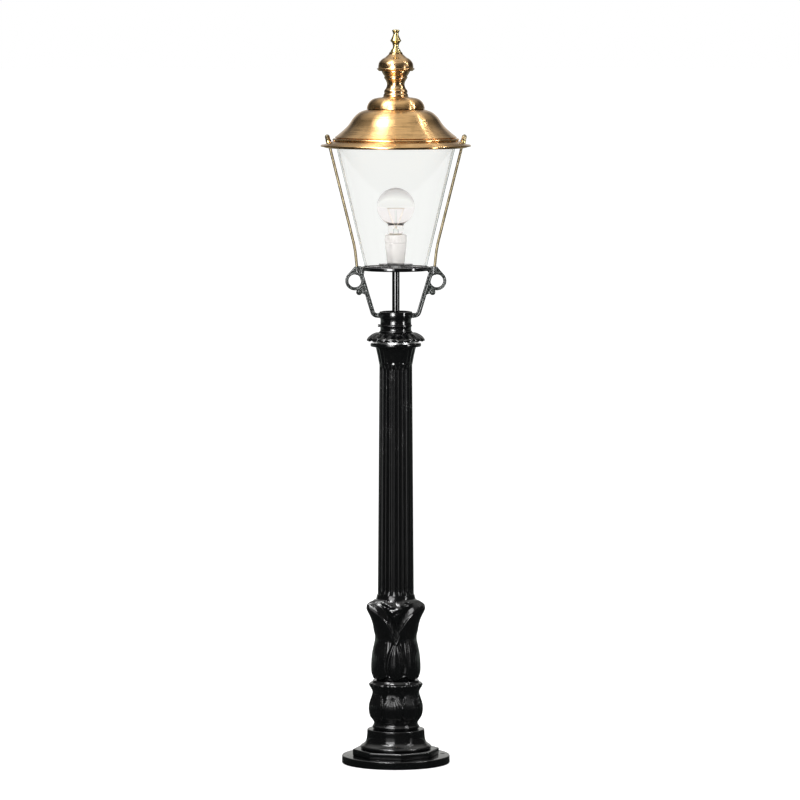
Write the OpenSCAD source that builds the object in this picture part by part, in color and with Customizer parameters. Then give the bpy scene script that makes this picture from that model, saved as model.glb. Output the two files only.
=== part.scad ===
// Garden post light: a cast, fluted post carrying a glass lantern with a spun copper roof.
// Millimetres. Origin at the centre of the underside of the foot plate, +Z up.

/* [Foot] */
// Diameter of the round foot plate
foot_plate_d = 228; // [200:1:280]
// Thickness of the foot plate
foot_plate_t = 16.5; // [14:0.5:24]
// Bolt circle diameter of the foot plate
bolt_pcd = 200; // [188:1:206]
// Number of ground bolts
bolt_count = 3; // [3:1:4]
// Bolt hole diameter
bolt_hole_d = 9; // [6:0.5:12]
// Angle of the first bolt hole
bolt_angle = 7.5; // [-22:0.5:22]
// Octagonal plinth, corner to corner
plinth_d = 184.8; // [170:0.5:186]
// Octagonal plinth height
plinth_h = 13.5; // [10:0.5:20]
// Turn of the plinth about the axis
plinth_turn = 7.5; // [-22:0.5:22]
// Chamfer round the top of the plinth
plinth_chamfer = 2.5; // [1:0.5:5]
// Bead on the plinth, radius on plan
foot_bead_r = 75; // [66:0.5:80]
// Bead height
foot_bead_h = 8; // [5:0.5:12]
// Radius of the foot drum at its top
drum_r = 60.4; // [56:0.5:64]
// Height of the foot drum above the bead
drum_h = 34; // [26:1:50]

/* [Bulb casting] */
// Height of the bulb casting
bulb_casting_h = 104; // [90:1:130]
// Radius of its lower neck
bulb_foot_r = 46.3; // [44:0.5:50]
// Radius at its widest
bulb_casting_r = 57; // [52:0.5:62]
// Radius of its upper neck
bulb_neck_r = 50; // [46:0.5:52]
// Radius of the collar ring at its top
bulb_ring_r = 57; // [53:0.5:62]
// Depth of the clefts between its leaves
bulb_cleft = 2.4; // [1:0.2:4]
// Number of leaves round it
bulb_leaves = 8; // [6:1:12]

/* [Vase casting] */
// Height of the vase casting
vase_h = 182; // [150:1:230]
// Belly radius
vase_belly_r = 51.5; // [48:0.5:58]
// Waist radius
vase_waist_r = 43.3; // [42:0.5:48]
// Number of petals of the vase
vase_petals = 3; // [2:1:6]
// Distance of the petal tips from the axis
petal_tip_r = 71; // [62:1:82]
// Radius of the rim in the notches between petals
petal_notch_r = 47; // [46:0.5:52]
// Height at which the petals leave the waist
petal_foot_z = 114; // [100:1:125]
// How far the notches dip below the petal tips
petal_dip = 22; // [8:1:34]
// Depth of the grooves beside each teardrop leaf
vase_groove = 3.4; // [1:0.2:5]

/* [Column] */
// Length of the fluted column
column_h = 487; // [300:1:900]
// Column radius at its foot
column_r_low = 38.2; // [36.5:0.1:40]
// Column radius at its top
column_r_top = 34.65; // [33.5:0.1:36.5]
// Number of flutes
flute_count = 26; // [16:1:32]
// Depth of a flute
flute_depth = 2.1; // [0.8:0.1:2.6]
// Bore of the hollow castings
casting_bore_r = 27; // [24:0.5:28]

/* [Capital] */
// Height of the bell under the capital plate
bell_h = 38; // [28:1:60]
// Radius of the bell at its top
bell_r = 42.6; // [39:0.5:48]
// Capital plate radius
capital_plate_r = 53.4; // [48:0.5:58]
// Capital plate thickness
capital_plate_t = 7; // [5:0.5:10]
// Number of petals in the leaf skirt
skirt_petals = 18; // [12:1:24]
// Reach of the petals from the axis
skirt_r = 61.5; // [56:0.5:66]
// Height of the leaf skirt
skirt_h = 20.2; // [16:0.2:26]
// Depth of the clefts between petals
skirt_cleft = 2.6; // [1:0.2:4]

/* [Spigot] */
// Spigot diameter that the lantern socket turns on
spigot_d = 60; // [58:0.5:60.5]
// Spigot wall
spigot_wall = 4; // [3:0.5:6]
// Length of spigot inside the socket
spigot_engage = 25; // [22:0.5:40]
// Running clearance between spigot and socket, on the radius
spigot_clearance = 0.08; // [0.02:0.01:0.1]

/* [Tie tube] */
// Outside diameter of the steel tie tube through the post
tie_d = 33.7; // [30:0.1:36]
// Wall of the tie tube
tie_wall = 3.2; // [2:0.1:4]
// Across flats of the lower tie nut
tie_nut_af_low = 46; // [42:1:48]
// Across flats of the upper tie nut
tie_nut_af_top = 41; // [40:1:42]
// Tie nut thickness
tie_nut_t = 6.5; // [5:0.5:9]
// Bore of the cable bush
bush_bore_d = 13; // [8:0.5:18]
// Length of the cable bush
bush_l = 18; // [12:1:40]

/* [Socket] */
// Outside diameter of the top band of the socket
socket_band_d = 69.5; // [68:0.5:76]
// Height of the top band
socket_band_h = 14.6; // [13:0.2:20]
// Outside diameter of the socket below the band
socket_neck_d = 65.5; // [64.5:0.5:68]
// Outside diameter of the two rings
socket_ring_d = 69; // [66:0.5:76]
// Web between the spigot and the cup
socket_web_t = 6; // [4:0.5:10]
// How far the socket sits down inside the leaf skirt
socket_sink = 3; // [1:0.5:5]
// Wall of the cup at the top
socket_cup_wall = 5; // [4:0.5:7]
// Set screw diameter
set_screw_d = 6; // [4:0.5:7]
// Set screw count
set_screw_count = 3; // [3:1:4]
// How far a set screw stands out of its ring
set_screw_proud = 3.4; // [2:0.1:6]

/* [Brackets] */
// Height from the socket to the underside of the seat plate
bracket_h = 86.4; // [70:0.2:120]
// Bar width seen from the front
bracket_bar_w = 9.6; // [8:0.2:12]
// Casting thickness
bracket_t = 10; // [8:0.5:14]
// Bend radius of the bar, on its centre line
bracket_bend_r = 10; // [8:0.5:16]
// Bar radius from the axis at the seat plate
bracket_top_r = 75.2; // [74:0.2:78]
// Ear hole diameter
ear_hole_d = 26; // [20:0.5:30]
// Ear ring wall
ear_wall = 7.2; // [5:0.2:9]
// Ear centre from the axis
ear_r = 86.2; // [84:0.2:90]
// Ear centre below the top of the bracket
ear_drop = 30; // [26:0.5:34]
// Bud diameter
bud_d = 12.4; // [9:0.2:15]
// Screw diameter in the brackets
bracket_screw_d = 5; // [4:0.5:6]

/* [Centre tube] */
// Outside diameter of the centre tube
tube_d = 16; // [14:0.5:20]
// Nipple diameter
nipple_d = 10; // [8:0.5:11]
// Nipple bore
nipple_bore_d = 7.2; // [5:0.2:7.6]
// Tube locknut, across flats
tube_nut_af = 24; // [22:1:27]
// Tube locknut thickness
tube_nut_t = 6; // [4:0.5:6.5]

/* [Seat] */
// Seat plate diameter
seat_d = 144; // [142:0.5:150]
// Seat plate floor thickness
seat_t = 4; // [3:0.5:6]
// Height of its rim above the floor
seat_rim_h = 4; // [2:0.5:8]
// Width of the rim
seat_rim_w = 3.6; // [2:0.2:4.2]
// Diameter of the screws between brackets and seat plate
seat_screw_d = 4; // [3:0.5:5]
// Length of these screws in the brackets
seat_screw_l = 8.6; // [6:0.2:14]
// Gasket thickness
gasket_t = 1.5; // [1:0.25:3]

/* [Glass] */
// Outside radius of the glass at its foot
glass_r_low = 65; // [62:0.5:66]
// Outside radius of the glass at its top
glass_r_top = 127.5; // [110:0.5:128]
// Height of the glass
glass_h = 262.5; // [200:0.5:320]
// Glass thickness
glass_t = 3.5; // [2.5:0.25:5]

/* [Lamp holder] */
// Diameter of the dark disc under the lamp holder
disc_d = 72; // [60:1:80]
// Thickness of the disc
disc_t = 2.5; // [1.5:0.5:4]
// Height of the nut under the disc
disc_nut_h = 8; // [6:0.5:12]
// Diameter at the foot of the lamp holder
holder_d_low = 38; // [36:0.5:42]
// Diameter at the top of the lamp holder
holder_d = 45; // [43:0.5:50]
// Height of the lamp holder body
holder_h = 44; // [40:0.5:60]
// Height of its screw ring
holder_ring_h = 17.5; // [12:0.5:24]
// Diameter of its screw ring
holder_ring_d = 46.5; // [45:0.5:52]
// Bore of the threaded sleeve
sleeve_bore_d = 27; // [26.8:0.1:28]
// Sleeve metal thickness
sleeve_t = 0.8; // [0.4:0.1:1]

/* [Lamp] */
// Globe diameter
globe_d = 80; // [60:1:95]
// Overall length of the lamp
lamp_l = 122; // [112:1:130]
// Thread diameter of the cap
cap_d = 26.4; // [26:0.1:26.5]
// Length of the cap
cap_l = 25; // [22:0.5:28]
// Neck diameter of the glass
lamp_neck_d = 33; // [28:0.5:34]
// Glass wall of the lamp
lamp_glass_t = 0.8; // [0.5:0.1:1.5]

/* [Stays] */
// Stay rod diameter
stay_d = 6; // [5:0.5:7]
// Stay centre from the axis at the bracket
stay_r_low = 81.8; // [81:0.1:84]
// Stay centre from the axis at its bend
stay_r_bend = 86; // [85:0.1:88]
// Height of the bend above the bracket
stay_bend_h = 40; // [30:1:60]
// From the bead of the bell to the centre of a stay, at the brim
stay_from_bead = 8.8; // [7.8:0.1:11]
// Dome nut diameter
nut_d = 12; // [10:0.5:14]
// Dome nut height
nut_h = 13.5; // [10:0.5:18]
// Length of stay inside the nut
stay_in_nut = 7; // [5:0.5:9]
// Slot clearance round the stay
stay_clearance = 0.5; // [0.3:0.1:1]
// Thickness of the tapered washer at its thin side
washer_t = 1.4; // [1:0.1:3]

/* [Roof] */
// From the centre of a stay to the edge of the brim
brim_margin = 16.2; // [12:0.1:24]
// Sheet thickness of the roof
sheet_t = 1.5; // [1:0.1:2]
// Drop of the brim from its seat to its edge
brim_drop = 9; // [6:0.5:11]
// How far the bead round the foot of the bell stands outside the glass
bead_overhang = 5.5; // [3:0.5:8]
// Height of the bell of the roof
roof_bell_h = 66; // [50:1:90]
// Radius of the bell at its top
roof_bell_r = 63; // [62:0.5:70]
// Vent hole diameter under the crown
vent_d = 8; // [5:0.5:10]
// Gap between crown and bell
crown_gap = 1.2; // [0.8:0.1:3]
// Crown dome radius
crown_r = 61; // [56:0.5:61.5]
// Crown dome height
crown_h = 25; // [18:0.5:36]

/* [Finial] */
// Neck height
neck_h = 55; // [40:1:75]
// Neck foot radius
neck_foot_r = 26; // [24:0.5:30]
// Neck throat radius
neck_throat_r = 18.5; // [15:0.5:20]
// Neck top radius
neck_top_r = 29.6; // [27:0.2:32]
// Cap height
cap_h = 38; // [30:0.5:50]
// Cap rim radius
cap_rim_r = 39.6; // [38:0.2:44]
// Cap dome radius
cap_dome_r = 36.4; // [34:0.2:37.4]
// Spire height
spire_h = 49; // [36:0.5:70]
// Spire point radius
spire_knop_r = 11.8; // [10:0.2:13]
// Finial rod diameter
rod_d = 8; // [6:0.5:8.5]

/* [Hidden] */
$fn = 96;

// Small clearances, and how much wider the bore is in the lower castings
slip = 0.1;
seat_gap = 0.3;
bore_step = 6;

// Heights of the post, from the ground up
plinth_z = foot_plate_t;
bead_z = plinth_z + plinth_h;
drum_z = bead_z + foot_bead_h;
bulb_z = drum_z + drum_h;
vase_z = bulb_z + bulb_casting_h;
column_z = vase_z + vase_h;
bell_z = column_z + column_h;
plate_z = bell_z + bell_h;
flange_t = 4;
flange_z = plate_z + capital_plate_t;
skirt_z = flange_z + flange_t;

// Heights of the lantern socket
socket_z = skirt_z + skirt_h - socket_sink;
web_z = socket_z + spigot_engage;
cup_z = web_z + socket_web_t;
socket_top_z = cup_z + socket_band_h;
spigot_r = spigot_d / 2;
socket_r = spigot_r + spigot_clearance;
band_r = socket_band_d / 2;
ring_h = 6.4;
groove_h = 3;
set_screw_z = socket_z + 1.5 * ring_h + 2 * groove_h;

// Tie tube
tie_r = tie_d / 2;
tie_bore_r = tie_r - tie_wall;
tie_recess_r = tie_nut_af_low / sqrt(3) + 2.5;
tie_recess_h = tie_nut_t + 2.5;
bush_flange_t = 2;
tie_low_z = bush_flange_t + 0.4;
web_low_t = 6;
tie_top_z = flange_z + web_low_t + tie_nut_t + 2;

// Seat and glass
seat_z = socket_top_z + bracket_h;
seat_r = seat_d / 2;
floor_z = seat_z + seat_t;
seat_screw_r = seat_r - seat_screw_d;
glass_z = floor_z + gasket_t;
glass_top_z = glass_z + glass_h;
roof_z = glass_top_z + gasket_t;

// Brackets, as a bar that rises from the socket to the seat plate
bar_z = cup_z + socket_band_h / 2 - 1.1;
bar_rise = 0.3;
bar_lean = atan(bar_rise);
bar_foot_r = bracket_top_r - bar_rise * (seat_z - bar_z);
bend_tangent = bracket_bend_r * tan((90 - bar_lean) / 2);
bracket_top_z = floor_z + seat_rim_h;
ear_z = bracket_top_z - ear_drop;
ear_hole_r = ear_hole_d / 2;
ear_outer_r = ear_hole_r + ear_wall;
bud_r = bud_d / 2;
bud_at = [ear_r - 0.44 * ear_outer_r, ear_z - ear_outer_r - bud_r + 3];
boss_w = 13;
boss_r = boss_w / 2;
stay_r = stay_d / 2;
stay_depth = 12;
stay_low_z = bracket_top_z - stay_depth;

// Roof and stays, out from the glass
bell_bead_r = glass_r_top + bead_overhang;
stay_r_top = bell_bead_r + stay_from_bead;
brim_r = stay_r_top + brim_margin;
bend_z = bracket_top_z + stay_bend_h;
low_lean = atan2(stay_r_bend - stay_r_low, stay_bend_h);
nut_seat_z = roof_z + sheet_t + washer_t;
stay_lean = atan2(stay_r_top - stay_r_bend, nut_seat_z - bend_z);
stay_run = norm([stay_r_top - stay_r_bend, nut_seat_z - bend_z]);
nut_r = nut_d / 2;
slot_deep = 24;

// Lamp holder and lamp
disc_nut_z = floor_z;
disc_z = disc_nut_z + disc_nut_h;
holder_z = disc_z + disc_t;
holder_ring_z = holder_z + holder_h;
holder_top_z = holder_ring_z + holder_ring_h;
sleeve_r = sleeve_bore_d / 2;
cap_z = holder_top_z + 4 - cap_l;
contact_t = 3;
lamp_z = cap_z - contact_t;
globe_r = globe_d / 2;
globe_z = lamp_z + lamp_l - globe_r;
lamp_neck_r = lamp_neck_d / 2;
sleeve_z = cap_z - 2;
sleeve_top_z = holder_top_z - 2;

// Roof
brim_inner_r = glass_r_top - 17;
brim_top_z = roof_z + sheet_t;
bell_foot_z = brim_top_z;
bell_top_z = bell_foot_z + roof_bell_h;
lid_rise = 1.5;
crown_z = bell_top_z + crown_gap;
crown_top_z = crown_z + crown_h;
neck_z = crown_top_z;
cap_seat_z = neck_z + neck_h;
spire_z = cap_seat_z + cap_h;
rod_r = rod_d / 2;
rod_low_z = bell_top_z - 12;
rod_top_z = spire_z + 12;

// Point on a smooth curve between b and c, with a and d as the neighbours
function curve_at(a, b, c, d, t) =
    0.5 * (2 * b + (c - a) * t + (2 * a - 5 * b + 4 * c - d) * t * t
        + (3 * b - a - 3 * c + d) * t * t * t);

// Smooth curve through the points p, with steps pieces to a span
function smooth(p, steps = 4) = concat(
    [for (i = [0:len(p) - 2], s = [0:steps - 1])
        curve_at(p[max(i - 1, 0)], p[i], p[i + 1], p[min(i + 2, len(p) - 1)], s / steps)],
    [p[len(p) - 1]]);

// Arc of radius r about c, from angle a to angle b
function arc(c, r, a, b, steps = 8) =
    [for (i = [0:steps]) c + r * [cos(a + (b - a) * i / steps), sin(a + (b - a) * i / steps)]];

function reversed(p) = [for (i = [len(p) - 1:-1:0]) p[i]];

// The path p moved sideways by t, to the right of its direction
function beside(p, t) =
    [for (i = [0:len(p) - 1])
        let (d = p[min(i + 1, len(p) - 1)] - p[max(i - 1, 0)])
        p[i] + t * [d[1], -d[0]] / norm(d)];

// Angle in degrees from the nearest of n equal directions
function off_axis(a, n) = let (s = 360 / n, m = a - s * round(a / s)) abs(m);

// Rise from 0 to 1 as x goes from a to b, with soft ends
function ease(a, b, x) = let (t = min(max((x - a) / (b - a), 0), 1)) t * t * (3 - 2 * t);

// A point at angle a, radius r, height z
function polar(a, r, z) = [r * cos(a), r * sin(a), z];

// Closed solid through rings of points from the lowest to the highest, with flat ends
module stacked(rings) {
    n = len(rings[0]);
    m = len(rings);
    low = [0, 0, rings[0][0][2]];
    high = [0, 0, rings[m - 1][0][2]];
    points = concat([for (r = rings, p = r) p], [low, high]);
    side = [for (k = [0:m - 2], i = [0:n - 1])
        let (j = (i + 1) % n, a = k * n, b = a + n)
        each [[a + i, b + i, b + j], [a + i, b + j, a + j]]];
    foot = [for (i = [0:n - 1]) [n * m, i, (i + 1) % n]];
    head = [for (i = [0:n - 1]) [n * m + 1, n * (m - 1) + (i + 1) % n, n * (m - 1) + i]];
    polyhedron(points = points, faces = concat(side, foot, head), convexity = 8);
}

// Closed ring through sections of points, one section to each angle
module looped(sections) {
    n = len(sections);
    m = len(sections[0]);
    points = [for (s = sections, p = s) p];
    faces = [for (i = [0:n - 1], k = [0:m - 1])
        let (j = (i + 1) % n, l = (k + 1) % m)
        each [[i * m + k, j * m + k, j * m + l], [i * m + k, j * m + l, i * m + l]]];
    polyhedron(points = points, faces = faces, convexity = 8);
}

module hexagon(af, h) {
    cylinder(h = h, r = af / sqrt(3), $fn = 6);
}

module cast_black() {
    color([0.05, 0.05, 0.055]) children();
}

module copper() {
    color([0.72, 0.5, 0.3]) children();
}

module brass() {
    color([0.78, 0.62, 0.3]) children();
}

module steel() {
    color([0.6, 0.61, 0.62]) children();
}

module bolt_holes(z, h) {
    for (i = [0:bolt_count - 1])
        rotate([0, 0, bolt_angle + i * 360 / bolt_count])
            translate([bolt_pcd / 2, 0, z])
                cylinder(h = h, d = bolt_hole_d, $fn = 48);
}

// Round plate that bolts to the ground, with a recess below for the tie nut
module foot_plate() {
    edge = 1.2;
    r = foot_plate_d / 2;
    cast_black() difference() {
        rotate_extrude()
            polygon([[0, 0], [r - edge, 0], [r, edge], [r, foot_plate_t - edge],
                [r - edge, foot_plate_t], [0, foot_plate_t]]);
        bolt_holes(-1, foot_plate_t + 2);
        translate([0, 0, -1]) cylinder(h = tie_recess_h + 1, r = tie_recess_r);
        cylinder(h = foot_plate_t + 1, r = tie_r + seat_gap);
    }
}

// Octagonal plinth with the bead and drum above it, cast in one piece
module foot_casting() {
    flare = smooth([[foot_bead_r - 2.5, 0], [drum_r + 7, drum_h * 0.09], [drum_r + 2.4, drum_h * 0.35],
        [drum_r + 0.8, drum_h * 0.65], [drum_r, drum_h]], 5);
    wall = 9;
    bead = foot_bead_h / 2;
    cast_black() difference() {
        union() {
            translate([0, 0, plinth_z]) rotate([0, 0, plinth_turn]) {
                cylinder(h = plinth_h - plinth_chamfer, d = plinth_d, $fn = 8);
                translate([0, 0, plinth_h - plinth_chamfer])
                    linear_extrude(plinth_chamfer, scale = 1 - 2 * plinth_chamfer / plinth_d)
                        circle(d = plinth_d, $fn = 8);
            }
            translate([0, 0, bead_z]) rotate_extrude()
                polygon(concat([[0, 0]], arc([foot_bead_r - bead, bead], bead, -90, 90, 10),
                    [for (p = flare) p + [0, foot_bead_h]], [[0, foot_bead_h + drum_h]]));
        }
        translate([0, 0, plinth_z - 1])
            cylinder(h = plinth_h + foot_bead_h + drum_h - wall, r = drum_r - wall);
        cylinder(h = drum_z + drum_h + 1, r = casting_bore_r + bore_step);
    }
}

// Outline of the bulb casting as [radius, height] points
bulb_outline = let (h = bulb_casting_h) smooth([[bulb_foot_r + 1, 0], [bulb_foot_r + 3.2, h * 0.048],
    [bulb_foot_r + 1.5, h * 0.096], [bulb_foot_r, h * 0.135], [bulb_foot_r + 5, h * 0.2],
    [bulb_casting_r - 0.6, h * 0.327], [bulb_casting_r, h * 0.442], [bulb_casting_r - 2.6, h * 0.577],
    [bulb_neck_r + 1, h * 0.673], [bulb_neck_r, h * 0.75], [bulb_neck_r + 1.8, h * 0.817],
    [bulb_ring_r - 2.4, h * 0.865], [bulb_ring_r, h * 0.909], [bulb_ring_r - 2, h * 0.938],
    [bulb_ring_r - 7, h * 0.98], [bulb_ring_r - 9, h]], 2);

// Radius of the bulb casting at angle a and point k of its outline
function bulb_at(a, p) =
    let (off = off_axis(a + 90, bulb_leaves),
        half = 180 / bulb_leaves,
        up = p[1] / bulb_casting_h,
        belly = ease(0.15, 0.27, up) * (1 - ease(0.6, 0.73, up)),
        frill = ease(0.83, 0.88, up) * (1 - ease(0.91, 0.95, up)))
    p[0] - bulb_cleft * belly * pow(off / half, 3) - 1.4 * frill * pow(off / half, 2);

module bulb_casting() {
    sides = 96;
    wall = 8;
    cast_black() difference() {
        translate([0, 0, bulb_z])
            stacked([for (p = bulb_outline)
                [for (i = [0:sides - 1]) let (a = i * 360 / sides) polar(a, bulb_at(a, p), p[1])]]);
        translate([0, 0, bulb_z + wall])
            cylinder(h = bulb_casting_h - 2 * wall, r = bulb_foot_r - wall);
        translate([0, 0, bulb_z - 1]) cylinder(h = bulb_casting_h + 2, r = casting_bore_r + bore_step);
    }
}

// Body of the vase casting, from its foot to the rim of its petals, as [radius, height]
vase_shoulder_h = 19;
vase_tip_z = vase_h - vase_shoulder_h;
petal_foot_r = vase_waist_r + 0.6;
vase_outline = let (h = petal_foot_z) smooth([[vase_belly_r - 8, 0], [vase_belly_r - 3.6, h * 0.06],
    [vase_belly_r - 0.6, h * 0.175], [vase_belly_r, h * 0.28], [vase_belly_r - 2.2, h * 0.455],
    [vase_waist_r + 2.6, h * 0.667], [vase_waist_r, h * 0.86], [petal_foot_r, h]], 2);

// Height and radius of the vase at angle a, u from 0 at the waist to 1 at the petal rim
function petal_at(a, u) =
    let (off = off_axis(a + 90, vase_petals),
        tip = sin(off * vase_petals / 2),
        r_rim = petal_notch_r + (petal_tip_r - petal_notch_r) * pow(tip, 3),
        z_rim = vase_tip_z - petal_dip * (1 - pow(tip, 5)))
    [petal_foot_r + (r_rim - petal_foot_r) * pow(u, 1.7), petal_foot_z + (z_rim - petal_foot_z) * u];

// Shoulder of the vase, v from 0 at the petal rim to 1 where the column enters
function shoulder_at(a, v) =
    let (rim = petal_at(a, 1), top_r = column_r_low + 1.5)
    [top_r + (rim[0] - top_r) * pow(1 - v, 1.25),
        rim[1] + (vase_h - rim[1]) * (1 - pow(1 - v, 1.5))];

// Lobes, grooves and teardrop leaves in the body of the vase
function vase_relief(a, z) =
    let (off = off_axis(a + 90, vase_petals),
        up = z / petal_foot_z,
        body = ease(0.035, 0.14, up) * (1 - ease(0.8, 1, up)),
        leaf = 21 * pow(sin(180 * min(max(up, 0), 1)), 0.7) + 1,
        lobe = ease(leaf, leaf + 12, off),
        drop = 1 - ease(0.45 * leaf, leaf, off))
    body * (vase_groove * (lobe + 0.9 * drop - 1) + 1.2 * lobe * sin(off * vase_petals / 2));

module vase_casting() {
    sides = 84;
    wall = 8;
    angles = [for (i = [0:sides - 1]) i * 360 / sides];
    body = [for (p = vase_outline)
        [for (a = angles) polar(a, p[0] + vase_relief(a, p[1]), p[1])]];
    flare = [for (k = [1:6])
        [for (a = angles) let (q = petal_at(a, k / 6)) polar(a, q[0], q[1])]];
    shoulder = [for (k = [1:6])
        [for (a = angles) let (q = shoulder_at(a, k / 6)) polar(a, q[0], q[1])]];
    cast_black() difference() {
        translate([0, 0, vase_z]) stacked(concat(body, flare, shoulder));
        translate([0, 0, vase_z + wall]) cylinder(h = vase_h - 5 * wall, r = vase_waist_r - wall);
        translate([0, 0, vase_z - 1]) cylinder(h = vase_h + 2, r = casting_bore_r + 2);
    }
}

// Outline of the column at its foot, with flutes and flat fillets between them
function flute_outline(r) =
    let (pitch = 360 / flute_count)
    [for (i = [0:flute_count - 1], s = [0:7])
        let (u = s / 8, a = (i + u) * pitch, w = (u - 0.5) / 0.36,
            cut = abs(w) < 1 ? flute_depth * sqrt(1 - w * w) : 0)
        (r - cut) * [cos(a), sin(a)]];

module column() {
    cast_black() difference() {
        translate([0, 0, column_z])
            linear_extrude(column_h, scale = column_r_top / column_r_low)
                polygon(flute_outline(column_r_low));
        translate([0, 0, column_z - 1]) cylinder(h = column_h + 2, r = casting_bore_r);
    }
}

// Bell and plate at the head of the column
module capital() {
    bell = smooth([[column_r_top + 0.4, 0], [column_r_top + 1.4, bell_h * 0.18], [bell_r - 4, bell_h * 0.5],
        [bell_r - 2.4, bell_h * 0.78], [bell_r, bell_h - 2], [bell_r, bell_h]], 4);
    edge = 1.5;
    cast_black() translate([0, 0, bell_z]) rotate_extrude()
        polygon(concat([[casting_bore_r, 0]], bell,
            [[capital_plate_r - edge, bell_h], [capital_plate_r, bell_h + edge],
                [capital_plate_r, bell_h + capital_plate_t - edge],
                [capital_plate_r - edge, bell_h + capital_plate_t],
                [casting_bore_r, bell_h + capital_plate_t]]));
}

// Section through the leaf skirt at angle a: over the petal, round its lip and back below
function skirt_section(a) =
    let (half = 180 / skirt_petals,
        off = off_axis(a, skirt_petals) / half,
        reach = skirt_r - skirt_cleft * pow(off, 3),
        low = 2.2 * pow(off, 2),
        crown = 1.6 * (1 - off * off),
        top_r = band_r + 1.5,
        top_z = skirt_h - 1.6)
    [[spigot_r - 2, 0], [spigot_r - 2, skirt_h - 6.5], [top_r, skirt_h - 6.5], [top_r, top_z],
        [top_r + 4, top_z + crown * 0.4], [top_r + 0.42 * (reach - top_r), top_z - 2.4 + crown],
        [top_r + 0.74 * (reach - top_r), top_z - 8 + crown], [reach - 0.6, 4 + low],
        [reach, 1.6 + low], [reach - 1.6, low], [spigot_r + 12, low]];

module leaf_skirt() {
    sides = skirt_petals * 8;
    cast_black() translate([0, 0, skirt_z]) difference() {
        looped([for (i = [0:sides - 1])
            let (a = i * 360 / sides)
            [for (q = skirt_section(a)) polar(a, q[0], q[1])]]);
        translate([0, 0, -1]) cylinder(h = skirt_h + 2, r = spigot_r + slip);
    }
}

// Turned spigot with a flange on the capital and a web for the tie nut
module spigot() {
    inner = spigot_r - spigot_wall;
    flange_r = spigot_r + 10;
    steel() rotate_extrude()
        polygon([[tie_r + slip, flange_z], [flange_r, flange_z],
            [flange_r, flange_z + flange_t], [spigot_r, flange_z + flange_t],
            [spigot_r, web_z - 1], [spigot_r - 1, web_z], [inner, web_z],
            [inner, flange_z + web_low_t], [tie_r + slip, flange_z + web_low_t]]);
}

module tie_tube() {
    steel() difference() {
        translate([0, 0, tie_low_z]) cylinder(h = tie_top_z - tie_low_z, r = tie_r);
        translate([0, 0, tie_low_z - 1]) cylinder(h = tie_top_z - tie_low_z + 2, r = tie_bore_r);
    }
}

module tie_nut(z, af) {
    steel() translate([0, 0, z]) difference() {
        hexagon(af, tie_nut_t);
        translate([0, 0, -1]) cylinder(h = tie_nut_t + 2, r = tie_r + slip / 2);
    }
}

module tie_nut_lower() {
    tie_nut(tie_recess_h - tie_nut_t, tie_nut_af_low);
}

module tie_nut_upper() {
    tie_nut(flange_z + web_low_t, tie_nut_af_top);
}

// Bush that guards the supply cable where it enters the post
module cable_bush() {
    low = tie_low_z - bush_flange_t;
    color([0.12, 0.12, 0.13]) rotate_extrude()
        polygon([[bush_bore_d / 2, low], [tie_r - 1, low], [tie_r, low + 1], [tie_r, tie_low_z],
            [tie_bore_r - slip / 2, tie_low_z], [tie_bore_r - slip / 2, low + bush_l],
            [bush_bore_d / 2, low + bush_l]]);
}

// Socket of the lantern: bore below for the spigot, open cup above
module lantern_socket() {
    neck = socket_neck_d / 2;
    ring = socket_ring_d / 2;
    roll = 1.6;
    low_ring = socket_z + ring_h / 2;
    cup_r = band_r - socket_cup_wall;
    cast_black() difference() {
        rotate_extrude()
            polygon(concat([[0, socket_z], [neck, socket_z]],
                arc([ring - roll, low_ring], roll, -75, 75, 6),
                [[neck, low_ring + ring_h / 2], [neck - 0.6, low_ring + ring_h / 2 + groove_h],
                    [neck, set_screw_z - ring_h / 2]],
                arc([ring - roll, set_screw_z], roll, -75, 75, 6),
                [[neck, set_screw_z + ring_h / 2], [neck, cup_z - 1.5], [band_r - 0.8, cup_z + 0.8],
                    [band_r, cup_z + 2.2], [band_r - 0.6, socket_top_z - 1],
                    [band_r - 1.4, socket_top_z], [0, socket_top_z]]));
        translate([0, 0, socket_z - 1]) cylinder(h = spigot_engage + 1, r = socket_r);
        translate([0, 0, cup_z]) cylinder(h = socket_band_h + 1, r = cup_r);
        translate([0, 0, web_z - 1]) cylinder(h = socket_web_t + 2, r = tube_d / 2 + slip);
        for (i = [0:set_screw_count - 1])
            rotate([0, 0, 180 + i * 360 / set_screw_count])
                translate([spigot_r - 5, 0, set_screw_z]) rotate([0, 90, 0])
                    cylinder(h = 14, d = set_screw_d, $fn = 48);
        for (s = [0, 180])
            rotate([0, 0, s]) translate([cup_r - 3, 0, bar_z]) rotate([0, 90, 0])
                cylinder(h = 12, d = bracket_screw_d + slip, $fn = 48);
    }
}

// Slotted screws that clamp the socket to the spigot
module set_screws() {
    start = spigot_r + seat_gap;
    head_r = set_screw_d / 2 - 0.3;
    reach = socket_ring_d / 2 + set_screw_proud;
    steel() for (i = [0:set_screw_count - 1])
        rotate([0, 0, 180 + i * 360 / set_screw_count])
            translate([start, 0, set_screw_z]) rotate([0, 90, 0]) difference() {
                union() {
                    cylinder(h = reach - start - 1, d = set_screw_d - slip, $fn = 48);
                    cylinder(h = reach - start, r = head_r, $fn = 48);
                }
                translate([-0.5, -set_screw_d, reach - start - 1.6])
                    cube([1, 2 * set_screw_d, 4]);
            }
}

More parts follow.
